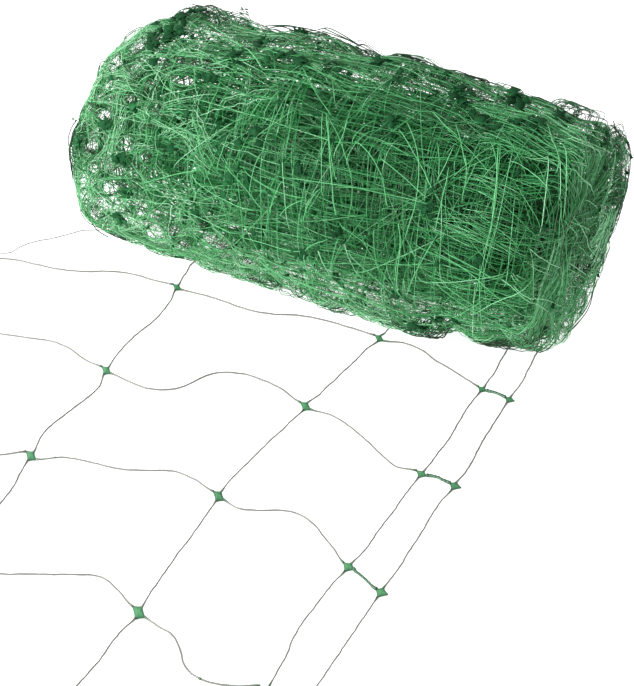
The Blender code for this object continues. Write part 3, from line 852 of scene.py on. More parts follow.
# Families of strands that run side by side
families = {
    "seed": 19,
    "radius": 0.34 * mm,
    "toneSpread": 0.3,  # of the strands in a family
    "toneSpreads": ((-60, 60, 290, 300), (1.3, 1, 1, 0.5)),  # by where families start, mm: times this
    "fan": 0.8,  # the most that the gaps in a family change from its middle to its ends
    "dive": 0.10,  # depth share by which both ends dive in
    "steps": 13,  # points along a strand
    "wavy": 0.3,  # families that are crinkled more than this have more
    "wavySteps": 24,
    "rim": {
        "members": 2, "gap": 1.8, "steps": 14, "radius": 0.46 * mm, "leanFrom": -0.04, "leanTo": 0.04,
        "lengthFrom": 22, "lengthTo": 60, "crinkle": 0.35, "slack": 0.02, "toneFrom": 0.0, "toneTo": 0.45,
    },
    "rimColumns": ("alongFrom", "alongTo", "count", "shareFrom", "shareTo"),
    "rims": (
        (-165, -20, 12, 0.99, 1.012), (-130, -20, 14, 0.995, 1.012), (-20, 380, 36, 0.99, 1.012),
        (380, 495, 6, 0.99, 1.012),
    ),
    "crossing": {
        "count": 6, "steps": 7, "radius": 0.31 * mm, "crinkle": 0.2, "slack": 0.01,
        "dark": 0.6,  # share of them that are painted dark as shade
    },
    "columns": (
        "alongFrom", "alongTo", "roundFrom", "roundTo",  # where the families start, mm and degrees
        "headingFrom", "headingTo",  # degrees: 0 along the roll, 90 round it
        "count", "members", "gap",  # families, the strands in each and the mm between them
        "lengthFrom", "lengthTo", "crinkle", "toneFrom", "toneTo", "shareFrom", "shareTo",
        "stout",  # thickness of the strands as a multiple of the radius
        "loops",  # only where the strands stand off the roll in loops, how far
        "drawn",  # only where the strands are drawn straight from end to end, how much
    ),
    # Each zone's tone range also paints light and shade by place: light at the left end, darker in the
    # middle and at the right, and dark at the outline
    "zones": (
        (-120, -50, 150, 215, 60, 120, 12, 5, 2.0, 30, 70, 0.6, 0.6, 1.0, 0.96, 1.0, 0.9),
        (-150, 0, 0, 360, 70, 110, 80, 6, 2.2, 50, 100, 0.7, 0.58, 1.0, 0.95, 1.0, 0.9),
        (-90, 110, 0, 360, -60, 60, 70, 5, 2.6, 40, 100, 0.65, 0.66, 1.0, 0.95, 1.0, 0.95),
        (60, 330, 0, 360, -70, 70, 80, 2, 5.0, 60, 150, 0.08, 0.25, 0.65, 0.95, 1.0, 0.95),
        (150, 340, 90, 225, 60, 115, 60, 2, 7.0, 60, 140, 0.08, 0.2, 0.7, 0.96, 1.0, 0.95),
        (322, 380, 130, 215, -6, 10, 26, 4, 5.5, 35, 70, 0.03, 0.35, 0.8, 0.97, 1.0, 0.9),
        (365, 420, 150, 245, -12, 25, 24, 4, 4.5, 40, 90, 0.03, 0.3, 0.85, 0.97, 1.0, 0.95, 1, 0.9),
        (160, 400, 0, 360, -14, 16, 50, 3, 6.0, 60, 110, 0.05, 0.1, 0.5, 0.95, 1.0, 1),
        (330, 440, 0, 360, -35, 25, 34, 5, 4.0, 60, 120, 0.15, 0.1, 0.45, 0.95, 1.0, 1),
        (330, 395, 60, 115, -14, 18, 17, 5, 3.4, 50, 90, 0.1, 0.3, 0.8, 0.97, 1.0, 1),
        (420, 498, 0, 360, -90, 90, 36, 4, 3.6, 60, 140, 0.05, 0.0, 0.3, 0.95, 1.0, 1),
        (415, 498, 0, 360, -90, 90, 40, 1, 4.2, 40, 100, 0.03, 0.5, 0.8, 0.985, 1.0, 0.95),
        (380, 425, 75, 130, -5, 25, 16, 3, 4.0, 50, 100, 0.03, 0.3, 0.8, 0.97, 1.0, 0.9),
        (425, 465, 225, 300, 108, 142, 10, 2, 5.0, 40, 80, 0.04, 0.5, 0.9, 0.98, 1.0, 0.9),
        (-165, -90, 0, 360, -90, 90, 26, 5, 3.0, 60, 140, 0.9, 0.3, 1.0, 0.95, 1.0, 1),
        (270, 405, 0, 360, 80, 98, 26, 2, 5.0, 120, 220, 0.05, 0.4, 0.85, 0.97, 1.0, 1),
        (-40, 400, 55, 125, -12, 12, 44, 4, 3.0, 80, 160, 0.5, 0.0, 0.5, 0.96, 1.0, 1),
        (0, 400, 195, 240, -80, 80, 52, 4, 2.6, 30, 70, 0.5, 0.55, 1.0, 0.96, 1.0, 0.95, 2.6),
        (394, 424, 322, 410, 76, 104, 11, 3, 2.8, 50, 120, 0.35, 0.0, 0.4, 0.985, 1.02, 1.3),
        (394, 424, 262, 325, 76, 104, 12, 4, 2.4, 40, 90, 0.45, 0.55, 1.0, 0.985, 1.02, 1),
        (412, 432, 325, 352, 60, 120, 18, 4, 2.0, 20, 40, 0.6, 0.8, 1.0, 0.985, 1.02, 1),
        (403, 425, 252, 300, 60, 120, 12, 4, 2.4, 25, 50, 0.4, 0.5, 0.9, 0.975, 1.01, 1),
        (396, 412, 268, 318, 60, 120, 16, 4, 2.0, 20, 45, 0.5, 0.0, 0.8, 1.0, 1.055, 1),
        (408, 418, 5, 60, 60, 120, 12, 4, 2.0, 20, 45, 0.5, 0.0, 0.5, 1.0, 1.055, 1),
        (30, 390, 52, 78, -14, 14, 18, 3, 3.0, 40, 90, 0.6, 0.0, 0.7, 0.98, 1.0, 1.2, 1.5),
        (-20, 400, 222, 240, -40, 40, 16, 3, 2.6, 25, 55, 0.5, 0.0, 0.5, 1.0, 1.03, 1.1, 2.6),
        (-20, 400, 222, 240, -40, 40, 30, 4, 2.6, 25, 55, 0.5, 0.55, 1.0, 0.99, 1.03, 0.9, 2.6),
        (385, 440, 180, 260, -60, 60, 22, 4, 3.0, 40, 90, 0.1, 0.4, 0.95, 0.97, 1.0, 0.95, 1, 0.9),
        (-80, -55, 162, 190, 70, 110, 8, 3, 2.4, 20, 50, 0.5, 0.0, 0.4, 1.0, 1.02, 1.1),
        (403, 413, 335, 365, 60, 120, 10, 4, 2.0, 25, 50, 0.5, 0.0, 0.6, 1.0, 1.045, 1.1),
        (272, 306, 228, 240, -14, 14, 8, 3, 2.5, 25, 45, 0.5, 0.0, 0.3, 0.99, 1.045, 1.3, 2.6),
        (335, 372, 234, 248, -14, 14, 8, 3, 2.5, 25, 45, 0.5, 0.0, 0.3, 0.98, 1.025, 1.3, 2.6),
        (-10, 30, 62, 78, -40, 40, 8, 3, 2.5, 25, 50, 0.7, 0.0, 0.5, 0.99, 1.05, 1.1),
        (385, 470, 255, 420, 60, 115, 36, 6, 2.2, 70, 150, 0.12, 0.0, 0.45, 0.84, 0.98, 1),
        (380, 480, 0, 360, -90, 90, 28, 4, 4.0, 80, 160, 0.05, 0.0, 0.3, 0.6, 0.85, 2),
        (150, 215, 50, 64, -10, 10, 9, 3, 2.5, 40, 80, 0.5, 0.0, 0.5, 0.99, 1.02, 1.2),
        (362, 392, 54, 68, -20, 20, 9, 3, 2.5, 25, 45, 0.5, 0.0, 0.6, 1.0, 1.06, 1.1),
        (404, 412, 32, 48, 60, 120, 7, 3, 2.0, 20, 35, 0.5, 0.0, 0.6, 1.03, 1.08, 1.1),
        (402, 412, 316, 334, 60, 120, 6, 3, 2.0, 20, 35, 0.5, 0.2, 0.9, 1.0, 1.04, 1.1),
        (-70, 70, 95, 235, -90, 90, 52, 4, 2.4, 30, 60, 0.9, 0.5, 1.0, 0.96, 1.0, 0.85),
        (-60, 90, 100, 225, -60, 60, 44, 2, 6.0, 60, 120, 0.1, 0.4, 0.9, 0.98, 1.0, 0.85),
        (90, 340, 78, 104, -12, 12, 26, 4, 2.6, 50, 100, 0.2, 0.1, 0.6, 0.93, 0.99, 1),
        (300, 410, 60, 240, 20, 160, 60, 1, 6.0, 60, 140, 0.08, 0.3, 0.8, 0.98, 1.0, 0.9),
        (70, 180, 92, 112, -30, 30, 10, 3, 2.6, 30, 70, 0.2, 0.2, 0.6, 0.95, 1.0, 1),
        (-20, 50, 60, 88, -40, 40, 14, 4, 2.6, 40, 90, 0.6, 0.1, 0.7, 0.93, 1.0, 1),
    ),
}


def between(zone, name, shape, rng):
    # Random values between two limits of a zone
    return rng.uniform(zone[name + "From"], zone[name + "To"], shape)


def familyLines(zone, steps, rng):
    # Each family starts at a random place of its zone, with a random heading
    each = (zone["count"], 1, 1)
    middle = between(zone, "along", each, rng) * mm
    turn = np.radians(between(zone, "round", each, rng))
    heading = np.radians(between(zone, "heading", each, rng))
    return layFamilies(zone, middle, turn, heading, steps, rng)


def layFamilies(zone, middle, turn, heading, steps, rng):
    # A family runs straight ahead from its middle, touching the surface there, its strands a gap
    # apart and fanned a little, each with its own small shifts. They are then brought back on to
    # the surface, and dive into the roll at both ends.
    count, members = zone["count"], zone["members"]
    each, every = (count, 1, 1), (count, members, 1)
    t = np.linspace(-0.5, 0.5, steps)
    heading = heading + np.radians(rng.normal(0, 2, every))
    length = between(zone, "length", each, rng) * mm * rng.uniform(0.7, 1.1, every)
    order = (np.arange(members) - (members - 1) / 2)[None, :, None]
    gap = zone["gap"] * mm
    fan = rng.uniform(-families["fan"], families["fan"], each)
    aside = order * gap * (1 + fan * 2 * t) + rng.normal(0, 0.2 * gap, every)
    forward = length * (t + rng.normal(0, 0.1, every))
    ahead = forward * np.cos(heading) - aside * np.sin(heading)
    roundWay = forward * np.sin(heading) + aside * np.cos(heading)
    whole, small = np.ones_like(middle), 1 * mm
    alongWay = unit(placeAt(middle + small, turn, whole) - placeAt(middle - small, turn, whole))
    turnWay = unit(placeAt(middle, turn + 0.01, whole) - placeAt(middle, turn - 0.01, whole))
    lines = placeAt(middle, turn, whole) + ahead[..., None] * alongWay + roundWay[..., None] * turnWay
    along, turns, _ = readPlace(lines)
    share = between(zone, "share", every, rng) - families["dive"] * np.abs(2 * t) ** 5
    full = (count, members, steps)
    return [np.broadcast_to(values, full).reshape(-1, steps) for values in (along, turns, share)]


def gapCrossings(settings, rng):
    # Thin strands that cross each gap in all directions, most of them painted dark as shade against the
    # light
    over = settings["crossing"]
    groups = []
    for along, turn, width, height, _ in gaps["places"]:
        wide, high = width * gaps["size"], height * gaps["size"]
        row = (
            along - wide / 3, along + wide / 3, turn - high / 5, turn + high / 5, 0, 180,
            over["count"], 1, 1, 1.4 * high, 2.4 * wide, 0.2, 0, 1, 0.99, 1.0, 1,
        )
        zone = dict(zip(settings["columns"], row))
        lines = familyLines(zone, over["steps"], rng)
        points, outward = layStrands(lines, over["crinkle"], over["slack"], rng)
        tones = rng.uniform(0, 1, len(points))
        # painted shade: most crossing strands get a tone near 0
        tones = np.where(tones < over["dark"], 0.1 * tones, tones)
        groups.append(evenTubes(points, over["radius"], outward, tones, 3))
    return groups


def outlineStrands(rim, rng):
    # Thin strands, dark with painted shade, that run along the roll's outline. The surface's lean toward
    # the viewer's place is the dot product of its outward normal and the way there. Strands start where it
    # is small and positive, and head at right angles to its slope, so that it stays the same.
    alongs = np.linspace(rim["alongFrom"], rim["alongTo"], 180) * mm
    turns = np.radians(np.arange(0, 360, 2.0))
    along, turn = np.meshgrid(alongs, turns, indexing="ij")
    points = placeAt(along, turn, np.ones(along.shape))
    forward = points[1:, :-1] - points[:-1, :-1]
    roundWay = points[:-1, 1:] - points[:-1, :-1]
    normal = unit(np.cross(roundWay, forward))
    normal *= np.sign((normal * directionsAt(along, turn)[:-1, :-1]).sum(-1, keepdims=True))
    lean = (normal * unit(np.array(cameraSettings["place"]) - points[:-1, :-1])).sum(-1)
    slopeAlong = np.gradient(lean, axis=0) / np.linalg.norm(forward, axis=-1)
    slopeRound = np.gradient(lean, axis=1) / np.linalg.norm(roundWay, axis=-1)
    rows, columns = np.nonzero((lean > rim["leanFrom"]) & (lean < rim["leanTo"]))
    picked = rng.integers(0, len(rows), rim["count"])
    rows, columns = rows[picked], columns[picked]
    heading = np.arctan2(slopeAlong[rows, columns], -slopeRound[rows, columns])
    middles = along[rows, columns], turn[rows, columns], heading
    lines = layFamilies(rim, *(values[:, None, None] for values in middles), rim["steps"], rng)
    points, outward = layStrands(lines, rim["crinkle"], rim["slack"], rng, rim["shareTo"])
    tones = between(rim, "tone", len(points), rng)
    return evenTubes(points, rim["radius"], outward, tones, 3)


def makeFamilies(settings, look, paintedShadeOne):
    # The families of light strands, and apart from them the dark ones with painted shade that lie outside
    rng = np.random.default_rng(settings["seed"])
    dark = gapCrossings(settings, rng)
    for row in settings["rims"]:
        rim = dict(settings["rim"], **dict(zip(settings["rimColumns"], row)))
        dark.append(outlineStrands(rim, rng))
    light = []
    for row in settings["zones"]:
        zone = dict(zip(settings["columns"], row))
        steps = settings["wavySteps" if zone["crinkle"] > settings["wavy"] else "steps"]
        along, turns, share = familyLines(zone, steps, rng)
        points, outward = placeAt(along, turns, share), directionsAt(along, turns)
        ends = placeAt(along[:, [0, -1]], turns[:, [0, -1]], np.ones((len(along), 2)))
        across = ends[:, :1] + (ends[:, 1:] - ends[:, :1]) * np.linspace(0, 1, steps)[:, None]
        points = points + zone.get("drawn", 0) * (across - points)
        level = np.clip(zone["crinkle"] * rng.uniform(0.6, 1.2, len(points)), 0, 1)
        loops = zone.get("loops", 1.0)
        slack = (0.0008 + 0.07 * level) * loops ** 2
        points = crinkled(points, outward, level, slack, rng, 0.3 * loops)
        own = np.repeat(between(zone, "tone", zone["count"], rng), zone["members"])
        spread = settings["toneSpread"] * np.interp(zone["alongFrom"], *settings["toneSpreads"])
        own = np.clip(own + rng.normal(0, spread, len(points)), 0, 1)
        most = max(1.0, zone["shareTo"])
        points = keepInside(openGaps(points, own), most, drawnIn=most == 1)
        radii = settings["radius"] * zone["stout"] * rng.uniform(0.8, 1.15, len(points))
        # stout families go to the painted shade material
        (dark if zone["stout"] > 1 else light).append(evenTubes(points, radii, outward, own, 3))
    made, batch = [joinStrands("paintedShadeFamilies", dark, paintedShadeOne, 3)], []
    for group in light:
        batch.append(group)
        if countTriangles(batch) > batchTriangles or group is light[-1]:
            made.append(joinStrands(f"strandFamilies{len(made)}", batch, look, 3))
            batch = []
    return made


paintedShadeMaterial = plasticMaterial("netting plastic with painted shade", paintedShadeLook)
woundPieces += makeFamilies(families, woundMaterial, paintedShadeMaterial)
print("strand families laid")


# Knots of the wound net
knotShape = {
    "seed": 3,
    "reach": (3.9 * mm, 5.4 * mm),
    "waist": (2.6 * mm, 3.6 * mm),
    "thickness": (1.2 * mm, 2.0 * mm),
    "tilt": 0.5,
    "leastShare": 0.78,  # knots deeper than this are never seen
    "mostShare": 0.985,
}
knotClumps = {
    "seed": 12,
    "reach": (4.6 * mm, 7.2 * mm),
    "waist": (3.0 * mm, 4.2 * mm),
    "thickness": (0.7 * mm, 1.2 * mm),
    "tilt": 0.3,
    # along mm, round degrees, depth share, knots, spread mm, size
    "places": (
        (3, 102, 1.01, 18, 12, 1.1), (-8, 89, 1.015, 10, 6, 1.1), (-8, 75, 1.02, 7, 5, 1.0),
        (-4, 113, 1.01, 5, 4, 1.0), (-24, 153, 1.0, 6, 4, 1.1), (-55, 165, 1.0, 6, 5, 1.1),
        (-2, 143, 0.99, 3, 5, 1.0), (-6, 165, 0.99, 5, 5, 1.1), (4, 183, 0.99, 6, 4, 1.1),
        (-6, 196, 1.0, 6, 5, 1.1), (60, 120, 1.0, 6, 7, 1.1), (83, 110, 1.0, 7, 8, 1.1),
        (121, 103, 1.0, 8, 9, 1.1), (89, 93, 1.0, 6, 8, 1.0), (143, 104, 0.99, 5, 8, 1.1),
        (95, 147, 0.99, 4, 8, 1.0), (130, 141, 0.99, 5, 8, 1.0), (109, 165, 0.99, 4, 8, 1.0),
        (168, 99, 0.99, 5, 9, 1.0), (210, 91, 1.0, 7, 8, 1.0), (230, 96, 0.99, 4, 8, 1.0),
        (289, 89, 1.0, 7, 8, 1.1), (303, 94, 0.99, 5, 8, 1.1), (338, 79, 1.01, 9, 9, 1.1),
        (359, 96, 1.0, 7, 9, 1.1), (332, 104, 0.99, 6, 9, 1.1), (376, 80, 1.0, 5, 6, 1.0),
        (424, 240, 1.0, 6, 5, 1.0), (359, 171, 0.98, 5, 7, 1.0), (292, 196, 0.99, 4, 7, 1.0),
        (226, 197, 0.98, 4, 8, 1.0), (229, 168, 0.98, 4, 7, 1.0), (313, 152, 0.99, 5, 8, 1.0),
        (182, 122, 0.99, 3, 5, 1.0), (3, 121, 0.99, 3, 6, 1.0), (42, 157, 0.99, 4, 7, 1.0),
        (49, 138, 0.99, 4, 7, 1.0), (86, 187, 0.99, 4, 8, 1.0), (152, 190, 0.98, 4, 9, 1.0),
        (197, 185, 0.99, 3, 6, 1.0), (296, 222, 1.0, 5, 6, 1.0), (405, 239, 1.0, 5, 5, 1.0),
        (411, 72, 1.01, 6, 5, 0.9), (408, 37, 1.065, 4, 4, 0.6), (411, 27, 1.065, 4, 4, 0.6),
        (411, 15, 1.045, 4, 5, 0.5), (399, 290, 1.03, 3, 5, 0.5), (404, 312, 1.02, 2, 3, 0.45),
        (98, 67, 1.0, 6, 6, 0.8), (319, 214, 1.0, 6, 5, 1.0), (336, 210, 1.0, 6, 5, 1.0),
        (130, 160, 0.98, 4, 7, 1.0), (180, 150, 0.98, 4, 8, 1.0), (255, 120, 0.99, 4, 8, 1.0),
        (-14, 66, 1.035, 7, 8, 0.45), (2, 66, 1.03, 6, 7, 0.4), (19, 54, 1.045, 5, 4, 0.4),
        (104, 64, 1.01, 6, 12, 0.4), (406, 50, 1.02, 6, 8, 0.4), (-82, 158, 1.02, 5, 10, 0.35),
        (382, 252, 0.96, 5, 5, 0.9),
    ),
}


plateSides = 8


def knotPlates(centres, outward, settings, rng):
    # A plate with four points: its outline's radius goes between waist and reach four times
    # round, its middle stands up on both sides, and it lies nearly along the winding. Each plate's
    # points are its upper outline, its lower one and its two middles.
    count = len(centres)
    outward = unit(outward + rng.normal(0, settings["tilt"], (count, 3)))
    across = unit(np.cross(outward, unit(rng.normal(size=(count, 3)))))
    other = np.cross(outward, across)
    around = np.arange(plateSides)
    angles = fullTurn * around / plateSides
    pointed = (around % 2 == 0).astype(float)
    reach = rng.uniform(*settings["reach"], (count, 1)) * rng.uniform(0.6, 1.25, (count, plateSides))
    waist = rng.uniform(*settings["waist"], (count, 1)) * rng.uniform(0.6, 1.2, (count, plateSides))
    radius = (waist + (reach - waist) * pointed)[..., None]
    lift = outward[:, None] * rng.uniform(*settings["thickness"], (count, 1, 1)) / 2
    ring = np.cos(angles)[:, None] * across[:, None] + np.sin(angles)[:, None] * other[:, None]
    rim = centres[:, None] + radius * ring
    middle = centres[:, None]
    sheets = [rim + 0.45 * lift, rim - 0.45 * lift, middle + 0.8 * lift, middle - 0.8 * lift]
    return np.concatenate(sheets, 1)


def clumpCentres(settings, rng):
    # Knots scattered round each clump's middle in a bell-shaped spread
    rows = np.array(settings["places"])
    each = rows[:, 3].astype(int)
    along, turn, share, _, spread, size = np.repeat(rows, each, axis=0).T
    scatter = rng.normal(size=(2, len(along))) * spread * 0.6
    turn = np.radians(turn) + scatter[1] / round(rollShape["meanRadius"] / mm)
    share = share + rng.normal(0, 0.008, len(along)) - np.where(share > 1, 0, 0.008)
    return (along + scatter[0]) * mm, turn, share, size


def makeWoundKnots(knots, settings, clumps, look):
    # Plates on the outer knots of the net, and those of the clumps
    rng = np.random.default_rng(settings["seed"])
    along, turn, share = (values.ravel() for values in knots)
    seen = share > settings["leastShare"]
    centres = placeAt(along[seen], turn[seen], np.minimum(share[seen], settings["mostShare"]))
    centres = openGaps(centres[:, None], np.ones(len(centres)))[:, 0]
    outward = directionsAt(along[seen], turn[seen])
    plates = keepInside(knotPlates(centres, outward, settings, rng))
    # painted light: the net's knots are lighter at the left end and low at the front
    paintedBright = rng.uniform(0.1, 0.5, len(plates)) + 0.3 * brightness(along[seen], turn[seen])
    along, turn, share, size = clumpCentres(clumps, rng)
    middles = placeAt(along, turn, share)
    clumped = knotPlates(middles, directionsAt(along, turn), clumps, rng)
    clumped = middles[:, None] + (clumped - middles[:, None]) * size[:, None, None]
    points = np.concatenate([plates, clumped])
    lit = rng.uniform(0.1, 0.55, len(clumped))
    # painted light: clumps past 130 degrees round are lighter there too
    lit += np.where(np.degrees(turn) > 130, 0.2 * brightness(along, turn), 0)
    tones = np.concatenate([paintedBright, lit])
    each = points.shape[1]
    base = (np.arange(len(points)) * each)[:, None, None]
    here = np.arange(plateSides)
    after = (here + 1) % plateSides
    top = np.stack([here, after, np.full(plateSides, each - 2)], -1)
    bottom = np.stack([after + plateSides, here + plateSides, np.full(plateSides, each - 1)], -1)
    wall = np.stack([here + plateSides, after + plateSides, after, here], -1)
    fans = (np.concatenate([top, bottom])[None] + base).reshape(-1, 3)
    walls = (wall[None] + base).reshape(-1, 4)
    return makeMesh("woundKnots", points.reshape(-1, 3), [walls, fans], look, np.repeat(tones, each))


woundKnotMaterial = plasticMaterial("wound knot plastic", knotLook)
woundPieces.append(makeWoundKnots(woundKnots, knotShape, knotClumps, woundKnotMaterial))
print("wound knots made")


# Strands that stand out at the roll's edges, dark with painted shade
wisps = {
    "radius": 0.52 * mm,
    "steps": 14,
    # dark tones: painted shade of the outline
    "tone": (0.0, 0.35),
    "seed": 23,
    # along mm, round degrees and depth share at four places of each
    "places": (
        (-21, 66, 1.064, -15, 67, 1.049, -15, 64, 1.017, -17, 62, 0.969),
        (-15, 64, 1.025, -6, 67, 1.049, 1, 67, 1.049, 4, 62, 0.978),
        (-5, 67, 1.056, 2, 67, 1.041, 6, 66, 1.017, 4, 59, 0.971),
        (5, 64, 1.025, 5, 59, 1.002, 5, 56, 0.980, 8, 55, 0.956),
        (16, 56, 1.037, 19, 56, 1.044, 19, 53, 1.058, 19, 51, 1.055),
        (17, 56, 1.017, 20, 55, 1.015, 19, 51, 1.023, 21, 50, 1.022),
        (70, 75, 1.045, 84, 72, 1.050, 98, 67, 1.020, 110, 62, 1.005),
        (76, 80, 1.033, 90, 78, 1.041, 96, 70, 0.990, 104, 66, 0.960),
        (78, 76, 1.056, 92, 73, 1.040, 102, 67, 1.009, 118, 63, 0.963),
        (111, 62, 1.014, 121, 62, 1.043, 138, 64, 1.010, 150, 61, 0.981),
        (117, 63, 1.013, 134, 67, 0.997, 145, 62, 0.981, 154, 58, 0.967),
        (-25, 70, 1.026, -24, 67, 1.033, -23, 64, 1.025, -20, 63, 1.001),
        (-24, 70, 0.994, -24, 64, 1.009, -20, 63, 0.993, -15, 61, 0.961),
        (316, 245, 0.929, 343, 238, 1.010, 353, 241, 1.015, 366, 246, 1.000),
        (321, 246, 0.949, 343, 241, 1.004, 359, 245, 0.977, 369, 250, 0.924),
        (395, 273, 1.004, 396, 277, 1.016, 398, 282, 1.038, 400, 287, 1.064),
        (279, 230, 1.030, 288, 234, 1.049, 299, 238, 1.028, 308, 240, 0.965),
        (307, 240, 0.983, 310, 243, 0.983, 316, 244, 0.962, 319, 246, 0.926),
        (405, 308, 1.037, 402, 301, 1.060, 400, 292, 1.061, 396, 281, 1.012),
        (406, 315, 1.001, 404, 306, 1.027, 404, 297, 1.060, 401, 288, 1.053),
        (402, 56, 1.003, 409, 52, 1.026, 408, 37, 1.063, 413, 35, 1.068),
        (401, 56, 1.036, 405, 55, 1.016, 407, 52, 1.008, 409, 49, 1.004),
        (412, 21, 1.045, 409, 6, 1.037, 409, -8, 1.022, 408, -23, 1.008),
        (413, 32, 1.072, 410, 14, 1.049, 408, 1, 1.032, 407, -14, 1.010),
        (-40, 226, 1.034, -45, 218, 1.022, -53, 209, 0.970, -64, 202, 0.958),
        (-73, 174, 1.008, -80, 170, 1.031, -83, 163, 1.030, -83, 157, 1.003),
        (248, 237, 0.989, 267, 230, 1.008, 279, 230, 1.006, 287, 231, 1.031),
        (393, 269, 0.993, 393, 270, 0.961, 392, 270, 0.940, 392, 267, 0.914),
        (403, 303, 1.051, 403, 295, 1.079, 400, 287, 1.064, 395, 273, 1.006),
        (368, 252, 0.946, 378, 251, 0.968, 384, 252, 0.993, 388, 253, 1.009),
        (388, 253, 1.009, 390, 259, 0.991, 393, 266, 0.979, 394, 270, 0.971),
        (382, 252, 0.942, 388, 253, 0.994, 392, 260, 0.968, 392, 270, 0.940),
        (388, 253, 0.994, 390, 263, 0.927, 395, 270, 0.870, 398, 281, 0.852),
        (117, 63, 1.036, 140, 61, 0.988, 153, 60, 0.973, 197, 77, 0.996),
        (198, 72, 0.986, 200, 68, 1.011, 206, 67, 1.013, 213, 63, 1.005),
        (206, 67, 1.005, 214, 61, 0.996, 228, 58, 0.992, 261, 77, 0.989),
        (261, 77, 0.989, 270, 73, 0.996, 282, 73, 0.984, 295, 68, 0.987),
        (330, 67, 0.977, 338, 66, 0.958, 345, 67, 0.992, 354, 66, 0.986),
        (140, 61, 0.981, 148, 62, 0.983, 153, 55, 0.971, 161, 51, 0.978),
    ),
}


def smoothThrough(stops, places):
    # Catmull-Rom: a smooth curve that passes through all of the stops
    last = stops.shape[1] - 1
    here = np.minimum(places.astype(int), last - 1)
    t = places - here
    if stops.ndim == 3:
        t = t[:, None]
    before, near = stops[:, np.maximum(here - 1, 0)], stops[:, here]
    far, beyond = stops[:, here + 1], stops[:, np.minimum(here + 2, last)]
    bend = 2 * before - 5 * near + 4 * far - beyond
    sway = 3 * (near - far) + beyond - before
    return near + t * (far - before + t * (bend + t * sway)) / 2


def makeWisps(settings, look):
    # Short strands that stand off the roll, each a smooth line through its four places
    rng = np.random.default_rng(settings["seed"])
    rows = np.array(settings["places"]).reshape(-1, 4, 3)
    stops = spotAt(rows[..., 0], rows[..., 1], rows[..., 2])
    lines = smoothThrough(stops, np.linspace(0, 3, settings["steps"]))
    outward = unit(lines - coresAt(readPlace(lines)[0]))
    tones = rng.uniform(*settings["tone"], len(lines))
    return joinStrands("edgeStrands", [evenTubes(lines, settings["radius"], outward, tones, 4)], look, 4)


woundPieces.append(makeWisps(wisps, paintedShadeMaterial))
for piece in woundPieces:
    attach(piece, "root")
    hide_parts("roll")


